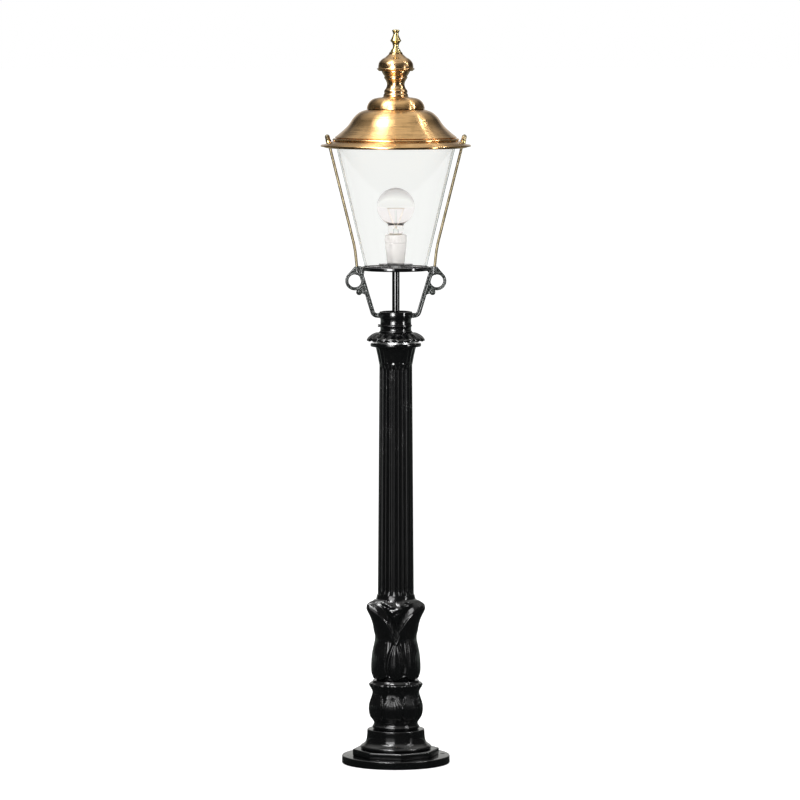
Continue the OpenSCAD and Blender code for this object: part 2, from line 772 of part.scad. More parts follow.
// Flat outline of the bar: level out of the socket, round the bend, up to the seat plate
module bar_outline() {
    d = [sin(bar_lean), cos(bar_lean)];
    corner = [bar_foot_r, bar_z];
    turn = [corner[0] - bend_tangent, corner[1] + bracket_bend_r];
    top = [bracket_top_r, seat_z];
    w = bracket_bar_w / 2;
    foot_w = w - 1.2;
    side = [d[1], -d[0]];
    polygon(concat([[0, bar_z - foot_w]],
        arc(turn, bracket_bend_r + foot_w, -90, -90 + (90 - bar_lean) * 0.6, 8),
        [corner + bend_tangent * 1.5 * d + w * side, top + w * side, top - w * side,
            corner + bend_tangent * 1.5 * d - w * side],
        arc(turn, bracket_bend_r - foot_w, -90 + (90 - bar_lean) * 0.6, -90, 8),
        [[0, bar_z + foot_w]]));
}

// Web that carries the stay boss and the ear ring
module ear_outline() {
    reach = ear_outer_r;
    out = ear_r + reach * cos(47);
    polygon([[seat_r, bracket_top_z], [stay_r_low + boss_r - 3.4, bracket_top_z],
        [out, ear_z + reach * sin(47)], [ear_r, ear_z], [bud_at[0] + 1, bud_at[1]],
        [bracket_top_r - bar_rise * (seat_z - bud_at[1]) - 2, bud_at[1] - bud_r],
        [bracket_top_r - 4, seat_z], [seat_r, seat_z]]);
    translate([ear_r, ear_z]) circle(r = reach, $fn = 72);
}

// Cast bracket on the +X side: bar, ear ring, bud and the boss that takes the stay
module bracket() {
    difference() {
        union() {
            rotate([90, 0, 0]) linear_extrude(bracket_t, center = true) {
                bar_outline();
                ear_outline();
            }
            translate([stay_r_low, 0, bracket_top_z]) rotate([0, low_lean, 0])
                translate([0, 0, -stay_depth - 2]) cylinder(h = stay_depth + 2, r = boss_r - 0.2);
            translate([bud_at[0], 0, bud_at[1]]) sphere(r = bud_r, $fn = 40);
        }
        translate([ear_r, bracket_t, ear_z]) rotate([90, 0, 0])
            cylinder(h = 2 * bracket_t, r = ear_hole_r, $fn = 72);
        translate([stay_r_low, 0, bracket_top_z]) rotate([0, low_lean, 0])
            translate([0, 0, -stay_depth]) cylinder(h = stay_depth + 5, r = stay_r + slip / 2);
        translate([0, 0, socket_z]) cylinder(h = bracket_top_z, r = band_r);
        translate([0, 0, seat_z]) cylinder(h = seat_t + seat_rim_h + 1, r = seat_r + slip);
        translate([band_r - 1, 0, bar_z]) rotate([0, 90, 0])
            cylinder(h = 12, d = bracket_screw_d + slip, $fn = 48);
        translate([seat_screw_r, 0, seat_z - seat_screw_l - seat_gap])
            cylinder(h = seat_screw_l + 1, d = seat_screw_d + slip, $fn = 40);
    }
}

module bracket_left() {
    cast_black() mirror([1, 0, 0]) bracket();
}

module bracket_right() {
    cast_black() bracket();
}

// Screws from inside the cup into the feet of the two brackets
module bracket_screws() {
    cup_r = band_r - socket_cup_wall;
    steel() for (s = [0, 180])
        rotate([0, 0, s]) translate([cup_r, 0, bar_z]) rotate([0, 90, 0]) {
            cylinder(h = socket_cup_wall + 9, d = bracket_screw_d, $fn = 40);
            translate([0, 0, -3.5]) difference() {
                cylinder(h = 3.2, r = bracket_screw_d * 0.8, $fn = 40);
                translate([0, 0, -1]) hexagon(3, 2.6);
            }
        }
}

module centre_tube() {
    low = web_z - tube_nut_t - 1;
    cast_black() difference() {
        translate([0, 0, low]) cylinder(h = seat_z - low, d = tube_d);
        translate([0, 0, low - 1]) cylinder(h = seat_z - low + 2, d = nipple_d + slip);
    }
}

// Locknuts above and below the web of the socket
module tube_nuts() {
    steel() for (z = [web_z - tube_nut_t, cup_z])
        translate([0, 0, z]) difference() {
            hexagon(tube_nut_af, tube_nut_t);
            translate([0, 0, -1]) cylinder(h = tube_nut_t + 2, d = tube_d + slip);
        }
}

// Round tray that carries the glass
module seat_plate() {
    edge = 1;
    inner = seat_r - seat_rim_w;
    top = seat_t + seat_rim_h;
    cast_black() translate([0, 0, seat_z]) difference() {
        rotate_extrude()
            polygon([[nipple_d / 2 + slip, 0], [seat_r - edge, 0], [seat_r, edge],
                [seat_r, top - edge], [seat_r - edge, top], [inner, top], [inner, seat_t],
                [nipple_d / 2 + slip, seat_t]]);
        for (s = [-1, 1])
            translate([s * seat_screw_r, 0, -1])
                cylinder(h = seat_t + 0.2, d = seat_screw_d + slip, $fn = 40);
    }
}

// Screws that hold the seat plate down on the brackets
module seat_screws() {
    steel() for (s = [-1, 1])
        translate([s * seat_screw_r, 0, seat_z - seat_screw_l])
            cylinder(h = seat_screw_l + seat_t - 1, d = seat_screw_d, $fn = 40);
}

module nipple() {
    low = seat_z - 10;
    steel() difference() {
        translate([0, 0, low]) cylinder(h = holder_z + 8 - low, d = nipple_d);
        translate([0, 0, low - 1]) cylinder(h = holder_z + 10 - low, d = nipple_bore_d);
    }
}

module disc_nut() {
    steel() translate([0, 0, disc_nut_z]) difference() {
        hexagon(17, disc_nut_h);
        translate([0, 0, -1]) cylinder(h = disc_nut_h + 2, d = nipple_d + slip);
    }
}

module holder_disc() {
    cast_black() translate([0, 0, disc_z]) difference() {
        cylinder(h = disc_t, d = disc_d);
        translate([0, 0, -1]) cylinder(h = disc_t + 2, d = nipple_d + slip);
    }
}

module gasket(r, w, z) {
    color([0.16, 0.16, 0.16]) translate([0, 0, z]) difference() {
        cylinder(h = gasket_t, r = r);
        translate([0, 0, -1]) cylinder(h = gasket_t + 2, r = r - w);
    }
}

module lower_gasket() {
    gasket(seat_r - seat_rim_w - 1, 9, floor_z);
}

// Plain conical glass, open at both ends
module glass_cone() {
    slope = (glass_r_top - glass_r_low) / glass_h;
    wall = glass_t * sqrt(1 + slope * slope);
    color([0.85, 0.92, 0.9, 0.3]) translate([0, 0, glass_z]) rotate_extrude()
        polygon([[glass_r_low - wall, 0], [glass_r_low, 0], [glass_r_top, glass_h],
            [glass_r_top - wall, glass_h]]);
}

// Porcelain body of the lamp holder, hollow for the sleeve and terminals
module lamp_holder() {
    low = holder_d_low / 2;
    top = holder_d / 2;
    hollow_z = holder_z + 8;
    color([0.95, 0.94, 0.9]) difference() {
        translate([0, 0, holder_z]) rotate_extrude()
            polygon(holder_outline(low, top, holder_h));
        translate([0, 0, hollow_z])
            cylinder(h = holder_ring_z - hollow_z + 1, r = sleeve_r + sleeve_t + slip);
        translate([0, 0, holder_z - 1]) cylinder(h = 12, d = nipple_d + slip);
    }
}

// Half outline of the porcelain body, with a rounded foot
function holder_outline(low, top, h) =
    concat([[0, 0], [low - 3, 0]], arc([low - 3, 3], 3, -90, 0, 4),
        [[top - 0.6, h * 0.62], [top, h * 0.8], [top, h - 1], [top - 1, h], [0, h]]);

// Screw ring that closes the top of the lamp holder
module holder_ring() {
    r = holder_ring_d / 2;
    mouth = lamp_neck_r + 0.8;
    color([0.95, 0.94, 0.9]) translate([0, 0, holder_ring_z]) rotate_extrude()
        polygon([[sleeve_r + sleeve_t + slip, 0], [r, 0], [r, holder_ring_h - 2],
            [r - 2, holder_ring_h], [mouth, holder_ring_h], [mouth - 0.6, holder_ring_h - 1.2],
            [sleeve_r + sleeve_t + slip, holder_ring_h - 2.6]]);
}

// Threaded sleeve, drawn with plain rolled rings
module holder_sleeve() {
    h = sleeve_top_z - sleeve_z;
    brass() translate([0, 0, sleeve_z]) difference() {
        cylinder(h = h, r = sleeve_r + sleeve_t);
        translate([0, 0, -1]) cylinder(h = h + 2, r = sleeve_r);
    }
}

// Spring tongue under the centre contact of the lamp, on its post
module holder_contact() {
    foot_z = holder_z + 8;
    brass() {
        translate([-3, -3, lamp_z - 1]) cube([9, 6, 1]);
        translate([5, -3, foot_z]) cube([1, 6, lamp_z - foot_z]);
    }
}

// Terminal blocks with their clamping screws
module holder_terminals() {
    foot_z = holder_z + 8;
    brass() for (s = [-1, 1])
        translate([-4, s * 8.4, foot_z]) {
            translate([-3.5, -2.6, 0]) cube([7, 5.2, 6]);
            translate([0, 0, 6]) cylinder(h = 1.4, d = 3.6, $fn = 32);
        }
}

// Brass stay on the +X side: short foot in the boss, bend, long leg to the nut
module stay() {
    turn = stay_lean - low_lean;
    leg = stay_run + stay_in_nut;
    foot = norm([stay_r_bend - stay_r_low, stay_bend_h]) + stay_depth - 0.5;
    over = stay_d;
    translate([stay_r_bend, 0, bend_z]) rotate([0, low_lean + turn / 2, 0]) {
        intersection() {
            rotate([0, turn / 2, 0]) translate([0, 0, -over])
                cylinder(h = leg + over, r = stay_r, $fn = 48);
            translate([-leg, -over, 0]) cube([2 * leg, 2 * over, 2 * leg]);
        }
        intersection() {
            rotate([0, -turn / 2, 0]) translate([0, 0, -foot])
                cylinder(h = foot + over, r = stay_r, $fn = 48);
            translate([-leg, -over, -2 * leg]) cube([2 * leg, 2 * over, 2 * leg]);
        }
    }
}

module stay_left() {
    brass() mirror([1, 0, 0]) stay();
}

module stay_right() {
    brass() stay();
}

module upper_gasket() {
    gasket(glass_r_top + 1, 8, glass_top_z);
}

// Upper side of the brim, from its inner edge over the bead seat to the outer edge
function brim_outline() =
    let (lip = 2.4)
    concat(
        [[brim_inner_r, 0], [bell_bead_r - 1, 0], [bell_bead_r + 1.5, 0.6]],
        [[brim_r - 6, -brim_drop + 2.4]],
        arc([brim_r - lip, -brim_drop - lip + 1.6], lip, 60, -40, 6));

// Room on the outer side of a stay, so that a piece round it can lift straight up
module lift_slot(more = 0) {
    out = sin(stay_lean) * stay_in_nut + stay_r / cos(stay_lean) + stay_clearance + more;
    half = stay_r + stay_clearance;
    translate([-half / 2, -half, -slot_deep]) cube([half / 2 + out, 2 * half, slot_deep + 4]);
}

// Slots in the brim for the stays
module stay_slot() {
    for (s = [0, 180])
        rotate([0, 0, s]) translate([stay_r_top, 0, nut_seat_z]) rotate([0, stay_lean, 0]) {
            translate([0, 0, -40]) cylinder(h = 60, r = stay_r + stay_clearance, $fn = 48);
            rotate([0, -stay_lean, 0]) lift_slot();
        }
}

module roof_brim() {
    top = [for (p = brim_outline()) p + [0, brim_top_z]];
    copper() difference() {
        rotate_extrude() polygon(concat(top, reversed(beside(top, sheet_t))));
        stay_slot();
    }
}

// Stiffening ring under the brim
module brim_ring() {
    out = brim_r - 7;
    rim_z = brim_top_z - brim_drop - 2.6;
    top_low = brim_top_z - sheet_t * 1.12;
    slope = (2.4 - brim_drop - 0.6) / (brim_r - 7.5 - bell_bead_r);
    r0 = out - 9;
    z0 = top_low + 0.6 + slope * (r0 - bell_bead_r - 1.5);
    z1 = top_low + 0.6 + slope * (out - bell_bead_r - 1.5);
    copper() difference() {
        rotate_extrude()
            polygon([[r0, rim_z - 1.8], [out - 3, rim_z - 1.6], [out - 0.6, rim_z - 0.4],
                [out, rim_z + 0.6], [out, z1 - 0.1], [r0, z0 - 0.1]]);
        stay_slot();
    }
}

// Outer line of the roof bell, from its top centre down to the bead on the brim
function bell_outline() =
    let (h = roof_bell_h, w = bell_bead_r - roof_bell_r, bead = 2.6)
    concat(
        [[rod_r + slip, h + lid_rise], [roof_bell_r - 12, h + lid_rise]],
        smooth([[roof_bell_r - 5, h + lid_rise * 0.6], [roof_bell_r + 0.02 * w, h * 0.985],
            [roof_bell_r + 0.17 * w, h * 0.925], [roof_bell_r + 0.33 * w, h * 0.79],
            [roof_bell_r + 0.46 * w, h * 0.6], [roof_bell_r + 0.62 * w, h * 0.4],
            [roof_bell_r + 0.8 * w, h * 0.235], [roof_bell_r + 0.93 * w, h * 0.125]], 4),
        arc([bell_bead_r - bead, bead + 0.4], bead, 62, -60, 8));

module roof_bell() {
    top = [for (p = bell_outline()) p + [0, bell_foot_z]];
    vents = 8;
    copper() difference() {
        rotate_extrude() polygon(concat(top, reversed(beside(top, sheet_t))));
        for (i = [0:vents - 1])
            rotate([0, 0, i * 360 / vents])
                translate([roof_bell_r * 0.5, 0, bell_top_z - 4]) cylinder(h = 10, d = vent_d, $fn = 40);
    }
}

// Outer line of the crown dome, from the rod hole down to its edge
function crown_outline() =
    let (h = crown_h, r = crown_r)
    concat([[rod_r + slip, h]],
        smooth([[neck_foot_r + 4, h], [r * 0.66, h * 0.95], [r * 0.82, h * 0.8], [r * 0.92, h * 0.56],
            [r * 0.985, h * 0.24], [r, 0.6]], 4));

module crown_dome() {
    top = [for (p = crown_outline()) p + [0, crown_z]];
    copper() rotate_extrude() polygon(concat(top, reversed(beside(top, sheet_t))));
}

// Tube that keeps the crown dome off the bell, so that warm air gets out
module crown_spacer() {
    low = bell_top_z + lid_rise;
    brass() translate([0, 0, low]) difference() {
        cylinder(h = crown_top_z - sheet_t - low, r = rod_r + 5);
        translate([0, 0, -1]) cylinder(h = crown_h + 10, r = rod_r + slip);
    }
}

// Turned neck of the finial
module finial_neck() {
    h = neck_h;
    f = neck_foot_r;
    t = neck_throat_r;
    outline = concat([[f + 3, 0], [f + 1, 1.4]], smooth([[f - 0.2, 2.4], [f - 0.1, h * 0.11],
        [f - 1.7, h * 0.16], [f - 1.5, h * 0.24], [f - 2.6, h * 0.29], [t + 2, h * 0.36],
        [t, h * 0.5], [t + 1.2, h * 0.6], [t + 4, h * 0.69]], 3),
        [[t + 6.2, h * 0.73], [t + 6.4, h * 0.8]],
        smooth([[t + 7.2, h * 0.84], [neck_top_r - 1.4, h * 0.93], [neck_top_r, h * 0.98],
            [neck_top_r, h]], 3));
    copper() translate([0, 0, neck_z]) rotate_extrude()
        polygon(concat([[rod_r + slip, 0]], outline, [[rod_r + slip, h]]));
}

// Onion cap of the finial, with its rim
module finial_cap() {
    h = cap_h;
    foot = cap_rim_r - 3.7;
    outline = concat([[foot, 0], [foot + 2, 2.2]],
        arc([cap_rim_r - 1.6, 4.4], 1.6, -50, 80, 6),
        smooth([[cap_dome_r + 0.6, 7.6], [cap_dome_r, h * 0.34], [cap_dome_r - 2, h * 0.5],
            [cap_dome_r * 0.84, h * 0.64], [cap_dome_r * 0.68, h * 0.74], [cap_dome_r * 0.55, h * 0.81],
            [cap_dome_r * 0.45, h * 0.9], [cap_dome_r * 0.39, h]], 3));
    hollow = cap_dome_r - 4;
    copper() translate([0, 0, cap_seat_z]) difference() {
        rotate_extrude() polygon(concat([[rod_r + slip, 0]], outline, [[rod_r + slip, h]]));
        translate([0, 0, 3]) rotate_extrude()
            polygon([[rod_r + 3, 0], [hollow, 0], [hollow - 1, h * 0.38], [hollow * 0.62, h * 0.58],
                [rod_r + 3, h * 0.66]]);
    }
}

// Small brass spire, screwed onto the rod
module finial_spire() {
    h = spire_h;
    k = spire_knop_r;
    blind = rod_top_z - spire_z + 0.5;
    outline = concat([[k + 1.6, 0], [k + 1.6, 1.4], [k + 0.4, 2.2], [k - 2.4, h * 0.13]],
        smooth([[k - 4.4, h * 0.17], [k - 5.7, h * 0.29], [k - 3.4, h * 0.44], [k - 0.6, h * 0.505]], 3),
        [[k, h * 0.525]],
        smooth([[k - 1, h * 0.55], [k - 3.2, h * 0.64], [k - 5.4, h * 0.73], [k - 6.2, h * 0.8],
            [k - 5.2, h * 0.87], [k - 3.8, h * 0.945], [k - 4.4, h * 0.98]], 3));
    brass() translate([0, 0, spire_z]) difference() {
        rotate_extrude() polygon(concat([[0, 0]], outline, [[k - 6.2, h], [0, h]]));
        translate([0, 0, -1]) cylinder(h = blind + 1, r = rod_r + slip / 2);
    }
}

module finial_rod() {
    steel() translate([0, 0, rod_low_z]) cylinder(h = rod_top_z - rod_low_z, r = rod_r);
}

module finial_nut() {
    h = rod_d * 0.8;
    flange = 1.2;
    steel() translate([0, 0, bell_top_z + lid_rise - sheet_t - h]) difference() {
        union() {
            hexagon(rod_d * 1.6, h);
            translate([0, 0, h - flange]) cylinder(h = flange, r = rod_d);
        }
        translate([0, 0, -1]) cylinder(h = h + 2, r = rod_r + slip / 2);
    }
}

// Tapered washer between the brim and a dome nut, open on its outer side
module washer() {
    below = 20;
    top = [for (p = brim_outline()) p + [0, brim_top_z]];
    difference() {
        translate([stay_r_top, 0, nut_seat_z]) rotate([0, stay_lean, 0]) difference() {
            translate([0, 0, -9]) cylinder(h = 9, r = nut_r + 0.4, $fn = 48);
            translate([0, 0, -10]) cylinder(h = 12, r = stay_r + stay_clearance, $fn = 48);
            rotate([0, -stay_lean, 0]) lift_slot(nut_r);
        }
        rotate_extrude() polygon(concat(top, [[brim_r + below, brim_top_z - below],
            [brim_inner_r, brim_top_z - below]]));
    }
}

module washer_left() {
    brass() mirror([1, 0, 0]) washer();
}

module washer_right() {
    brass() washer();
}

// Dome nut on the tip of the stay, flat side on the washer
module dome_nut() {
    body = nut_h - nut_r * 0.9;
    dome = [for (i = [0:8]) [nut_r * cos(i * 11.25), body + nut_r * 0.9 * sin(i * 11.25)]];
    translate([stay_r_top, 0, nut_seat_z]) rotate([0, stay_lean, 0]) difference() {
        rotate_extrude($fn = 64)
            polygon(concat([[0, 0], [nut_r - 0.5, 0], [nut_r, 0.5], [nut_r - 0.6, body * 0.5]], dome,
                [[0, nut_h]]));
        translate([0, 0, -1]) cylinder(h = stay_in_nut + 1.6, r = stay_r + slip / 2, $fn = 48);
    }
}

module dome_nut_left() {
    brass() mirror([1, 0, 0]) dome_nut();
}

module dome_nut_right() {
    brass() dome_nut();
}

// Outline of the glass globe with its neck, w inside the outer surface
function globe_outline(w) =
    let (r = globe_r - w, n = lamp_neck_r - w, a = asin(n / globe_r) + 8,
        mouth_z = cap_z + cap_l - 1)
    concat([[0, mouth_z], [n * 0.86, mouth_z], [n, mouth_z + 3]],
        smooth([[n, mouth_z + 3], [n + 0.6, globe_z - globe_r * 0.93],
            [0.66 * r, globe_z - 0.7513 * r]], 4),
        arc([0, globe_z], r, -48.7 + 6, 90, 24));

module globe() {
    color([0.95, 0.95, 0.93, 0.25]) difference() {
        rotate_extrude() polygon(globe_outline(0));
        translate([0, 0, 0.01]) rotate_extrude() polygon(globe_outline(lamp_glass_t));
        translate([0, 0, cap_z + cap_l - 3])
            cylinder(h = 6, r = (lamp_neck_r - lamp_glass_t) * 0.86);
    }
}

// Screw cap of the lamp, with rounded thread rings
module lamp_cap() {
    r = cap_d / 2;
    turns = 5;
    pitch = 3.6;
    thread = [for (i = [0:turns - 1], q = [[-1.1, 0.9], [0, 1.8], [0, 2.4], [-1.1, 3.3]])
        [r + q[0], 2 + i * pitch + q[1]]];
    color([0.82, 0.8, 0.74]) translate([0, 0, cap_z]) difference() {
        rotate_extrude()
            polygon(concat([[0, 0], [r - 6, 0], [r - 1.6, 2]], thread,
                [[r - 0.6, cap_l - 3], [r + 0.1, cap_l - 1], [0, cap_l - 1]]));
        translate([0, 0, 3]) cylinder(h = cap_l, r = r - 2);
    }
}

// Centre contact under its insulating glass
module lamp_contact() {
    color([0.8, 0.8, 0.78]) translate([0, 0, lamp_z]) {
        cylinder(h = 1.2, r = 4.2, $fn = 48);
        translate([0, 0, 1.2]) cylinder(h = contact_t - 1.2, r1 = 4.2, r2 = 7, $fn = 48);
    }
}

// Glass stem that carries the filament
module lamp_stem() {
    low = cap_z + 3;
    color([0.92, 0.93, 0.93]) {
        translate([0, 0, low]) cylinder(h = 3, r = cap_d / 2 - 2.2, $fn = 48);
        translate([0, 0, low + 3]) cylinder(h = cap_l + 1, r1 = 5, r2 = 4, $fn = 48);
        translate([0, 0, low + 4 + cap_l]) cylinder(h = globe_r * 1.05, r = 1.6, $fn = 32);
    }
}

// Leads and the ring of filament
module lamp_filament() {
    low = cap_z + cap_l + 7;
    top = globe_z - globe_r * 0.06;
    span = 11.6;
    start = 2.4;
    color([0.6, 0.55, 0.45]) {
        for (s = [-1, 1])
            translate([-s * start, s * start, low + 0.2])
                rotate([0, s * atan2(span + start, top - low), 0])
                    cylinder(h = norm([span + start, top - low]), r = 0.45, $fn = 16);
        translate([0, 0, top]) rotate_extrude($fn = 64)
            translate([span, 0]) circle(r = 0.6, $fn = 16);
        for (a = [45:90:315])
            rotate([0, 0, a]) translate([1.6, -0.4, top - 0.4]) cube([span - 1.4, 0.8, 0.8]);
    }
}

foot_plate();
foot_casting();
bulb_casting();
vase_casting();
column();
capital();
leaf_skirt();
spigot();
tie_tube();
tie_nut_lower();
tie_nut_upper();
cable_bush();
lantern_socket();
set_screws();
bracket_left();
bracket_right();
bracket_screws();
centre_tube();
tube_nuts();
seat_plate();
seat_screws();
nipple();
disc_nut();
holder_disc();
lower_gasket();
glass_cone();
lamp_holder();
holder_ring();
holder_sleeve();
holder_contact();
holder_terminals();
stay_left();
stay_right();
upper_gasket();
roof_brim();
brim_ring();
roof_bell();
crown_dome();
crown_spacer();
finial_neck();
finial_cap();
finial_spire();
finial_rod();
finial_nut();
washer_left();
washer_right();
dome_nut_left();
dome_nut_right();
globe();
lamp_cap();
lamp_contact();
lamp_stem();
lamp_filament();
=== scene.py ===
"""Garden post light: the dressed pieces, their finishes and the studio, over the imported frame."""

import logging
import math
from collections.abc import Callable, Iterable, Sequence
from dataclasses import dataclass, field
from enum import Enum

import bmesh
import bpy
from mathutils import Matrix, Vector


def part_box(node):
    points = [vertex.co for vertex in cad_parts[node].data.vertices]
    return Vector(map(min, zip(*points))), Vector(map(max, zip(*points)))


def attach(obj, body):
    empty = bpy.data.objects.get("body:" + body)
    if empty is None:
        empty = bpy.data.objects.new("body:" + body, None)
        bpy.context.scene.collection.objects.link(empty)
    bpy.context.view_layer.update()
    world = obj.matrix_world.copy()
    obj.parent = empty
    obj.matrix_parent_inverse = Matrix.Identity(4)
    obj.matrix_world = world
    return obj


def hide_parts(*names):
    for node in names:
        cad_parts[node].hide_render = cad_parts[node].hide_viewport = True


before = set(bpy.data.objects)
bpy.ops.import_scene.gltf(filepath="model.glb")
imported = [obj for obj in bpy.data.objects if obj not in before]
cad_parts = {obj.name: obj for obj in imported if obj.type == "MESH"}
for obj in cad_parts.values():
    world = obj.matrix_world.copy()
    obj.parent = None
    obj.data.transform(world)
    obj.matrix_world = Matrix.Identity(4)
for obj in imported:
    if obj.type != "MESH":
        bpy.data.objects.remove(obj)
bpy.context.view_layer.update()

MM = 0.001
Point = tuple[float, float]
Place = Callable[[float, float], Point]
Section = Callable[[float], Sequence[Point]]


def ease(low: float, high: float, x: float) -> float:
    """Rise from 0 at low to 1 at high, with soft ends."""
    t = min(max((x - low) / (high - low), 0.0), 1.0)
    return t * t * (3 - 2 * t)


def off_axis(angle: float, count: int) -> float:
    """Angle in degrees, with its sign, from the nearest of count equal directions."""
    step = 360 / count
    return angle - step * round(angle / step)


def hill(x: float, width: float) -> float:
    """A smooth bump of height 1 at x = 0 that fades over width."""
    return math.exp(-((x / width) ** 2))


def lean(angle: float, origin: Vector) -> Matrix:
    """Turn by angle degrees from +Z towards +X about an origin."""
    return Matrix.Translation(origin) @ Matrix.Rotation(math.radians(angle), 4, "Y")


def arc(centre: Point, radius: float, start: float, end: float, steps: int = 10) -> list[Point]:
    """Points of an arc in the plane.

    Args:
        centre: middle of the arc.
        radius: its radius.
        start: first angle in degrees.
        end: last angle in degrees.
        steps: number of spans.

    Returns:
        The points in order.
    """
    turns = [math.radians(start + (end - start) * i / steps) for i in range(steps + 1)]
    return [(centre[0] + radius * math.cos(t), centre[1] + radius * math.sin(t)) for t in turns]


def circle(radius: float, count: int) -> list[Point]:
    """Points round a circle about the origin."""
    turns = [2 * math.pi * i / count for i in range(count)]
    return [(radius * math.cos(t), radius * math.sin(t)) for t in turns]


def raised(outline: Iterable[Point], low: float) -> list[Point]:
    """The points of an outline, moved up to stand on a height."""
    return [(radius, low + z) for radius, z in outline]


def profile(radius: float, height: float, rows: Iterable[Point]) -> list[Point]:
    """Outline points from rows that give what each adds to a radius and its share of a height."""
    return [(radius + out, height * share) for out, share in rows]


class Curve:
    """A smooth line through chosen points."""

    def __init__(self, points: Sequence[Point]) -> None:
        """Keep the points the line goes through."""
        self.points = list(points)

    def at(self, share: float) -> Point:
        """Point of the line at a share of its spans.

        Args:
            share: 0 at the first point, 1 at the last.

        Returns:
            The point there.
        """
        last = len(self.points) - 1
        place = min(max(share, 0.0), 1.0) * last
        i = min(int(place), last - 1)
        t = place - i
        a, b, c, d = (self.points[min(max(k, 0), last)] for k in range(i - 1, i + 3))
        return tuple(
            0.5 * (
                2 * q + (r - p) * t + (2 * p - 5 * q + 4 * r - s) * t * t
                + (3 * q - p - 3 * r + s) * t**3
            )
            for p, q, r, s in zip(a, b, c, d)
        )

    def line(self, steps: int = 6) -> list[Point]:
        """Points along the whole line, steps to a span."""
        count = steps * (len(self.points) - 1)
        return [self.at(i / count) for i in range(count + 1)]


@dataclass(frozen=True)
class Span:
    """Where a node of the frame stands, in millimetres."""

    low: float
    high: float
    reach: float

    @property
    def height(self) -> float:
        """Height of the node."""
        return self.high - self.low


def span(node: str) -> Span:
    """Heights and reach along +X of a node, read from the frame."""
    low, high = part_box(node)
    return Span(low.z / MM, high.z / MM, high.x / MM)


def in_scene(name: str, data: bpy.types.ID) -> bpy.types.Object:
    """A new object of a mesh, lamp or camera, in the scene."""
    made = bpy.data.objects.new(name, data)
    bpy.context.scene.collection.objects.link(made)
    return made


def discard(made: bpy.types.Object) -> None:
    """Remove an object and its mesh."""
    data = made.data
    bpy.data.objects.remove(made)
    bpy.data.meshes.remove(data)


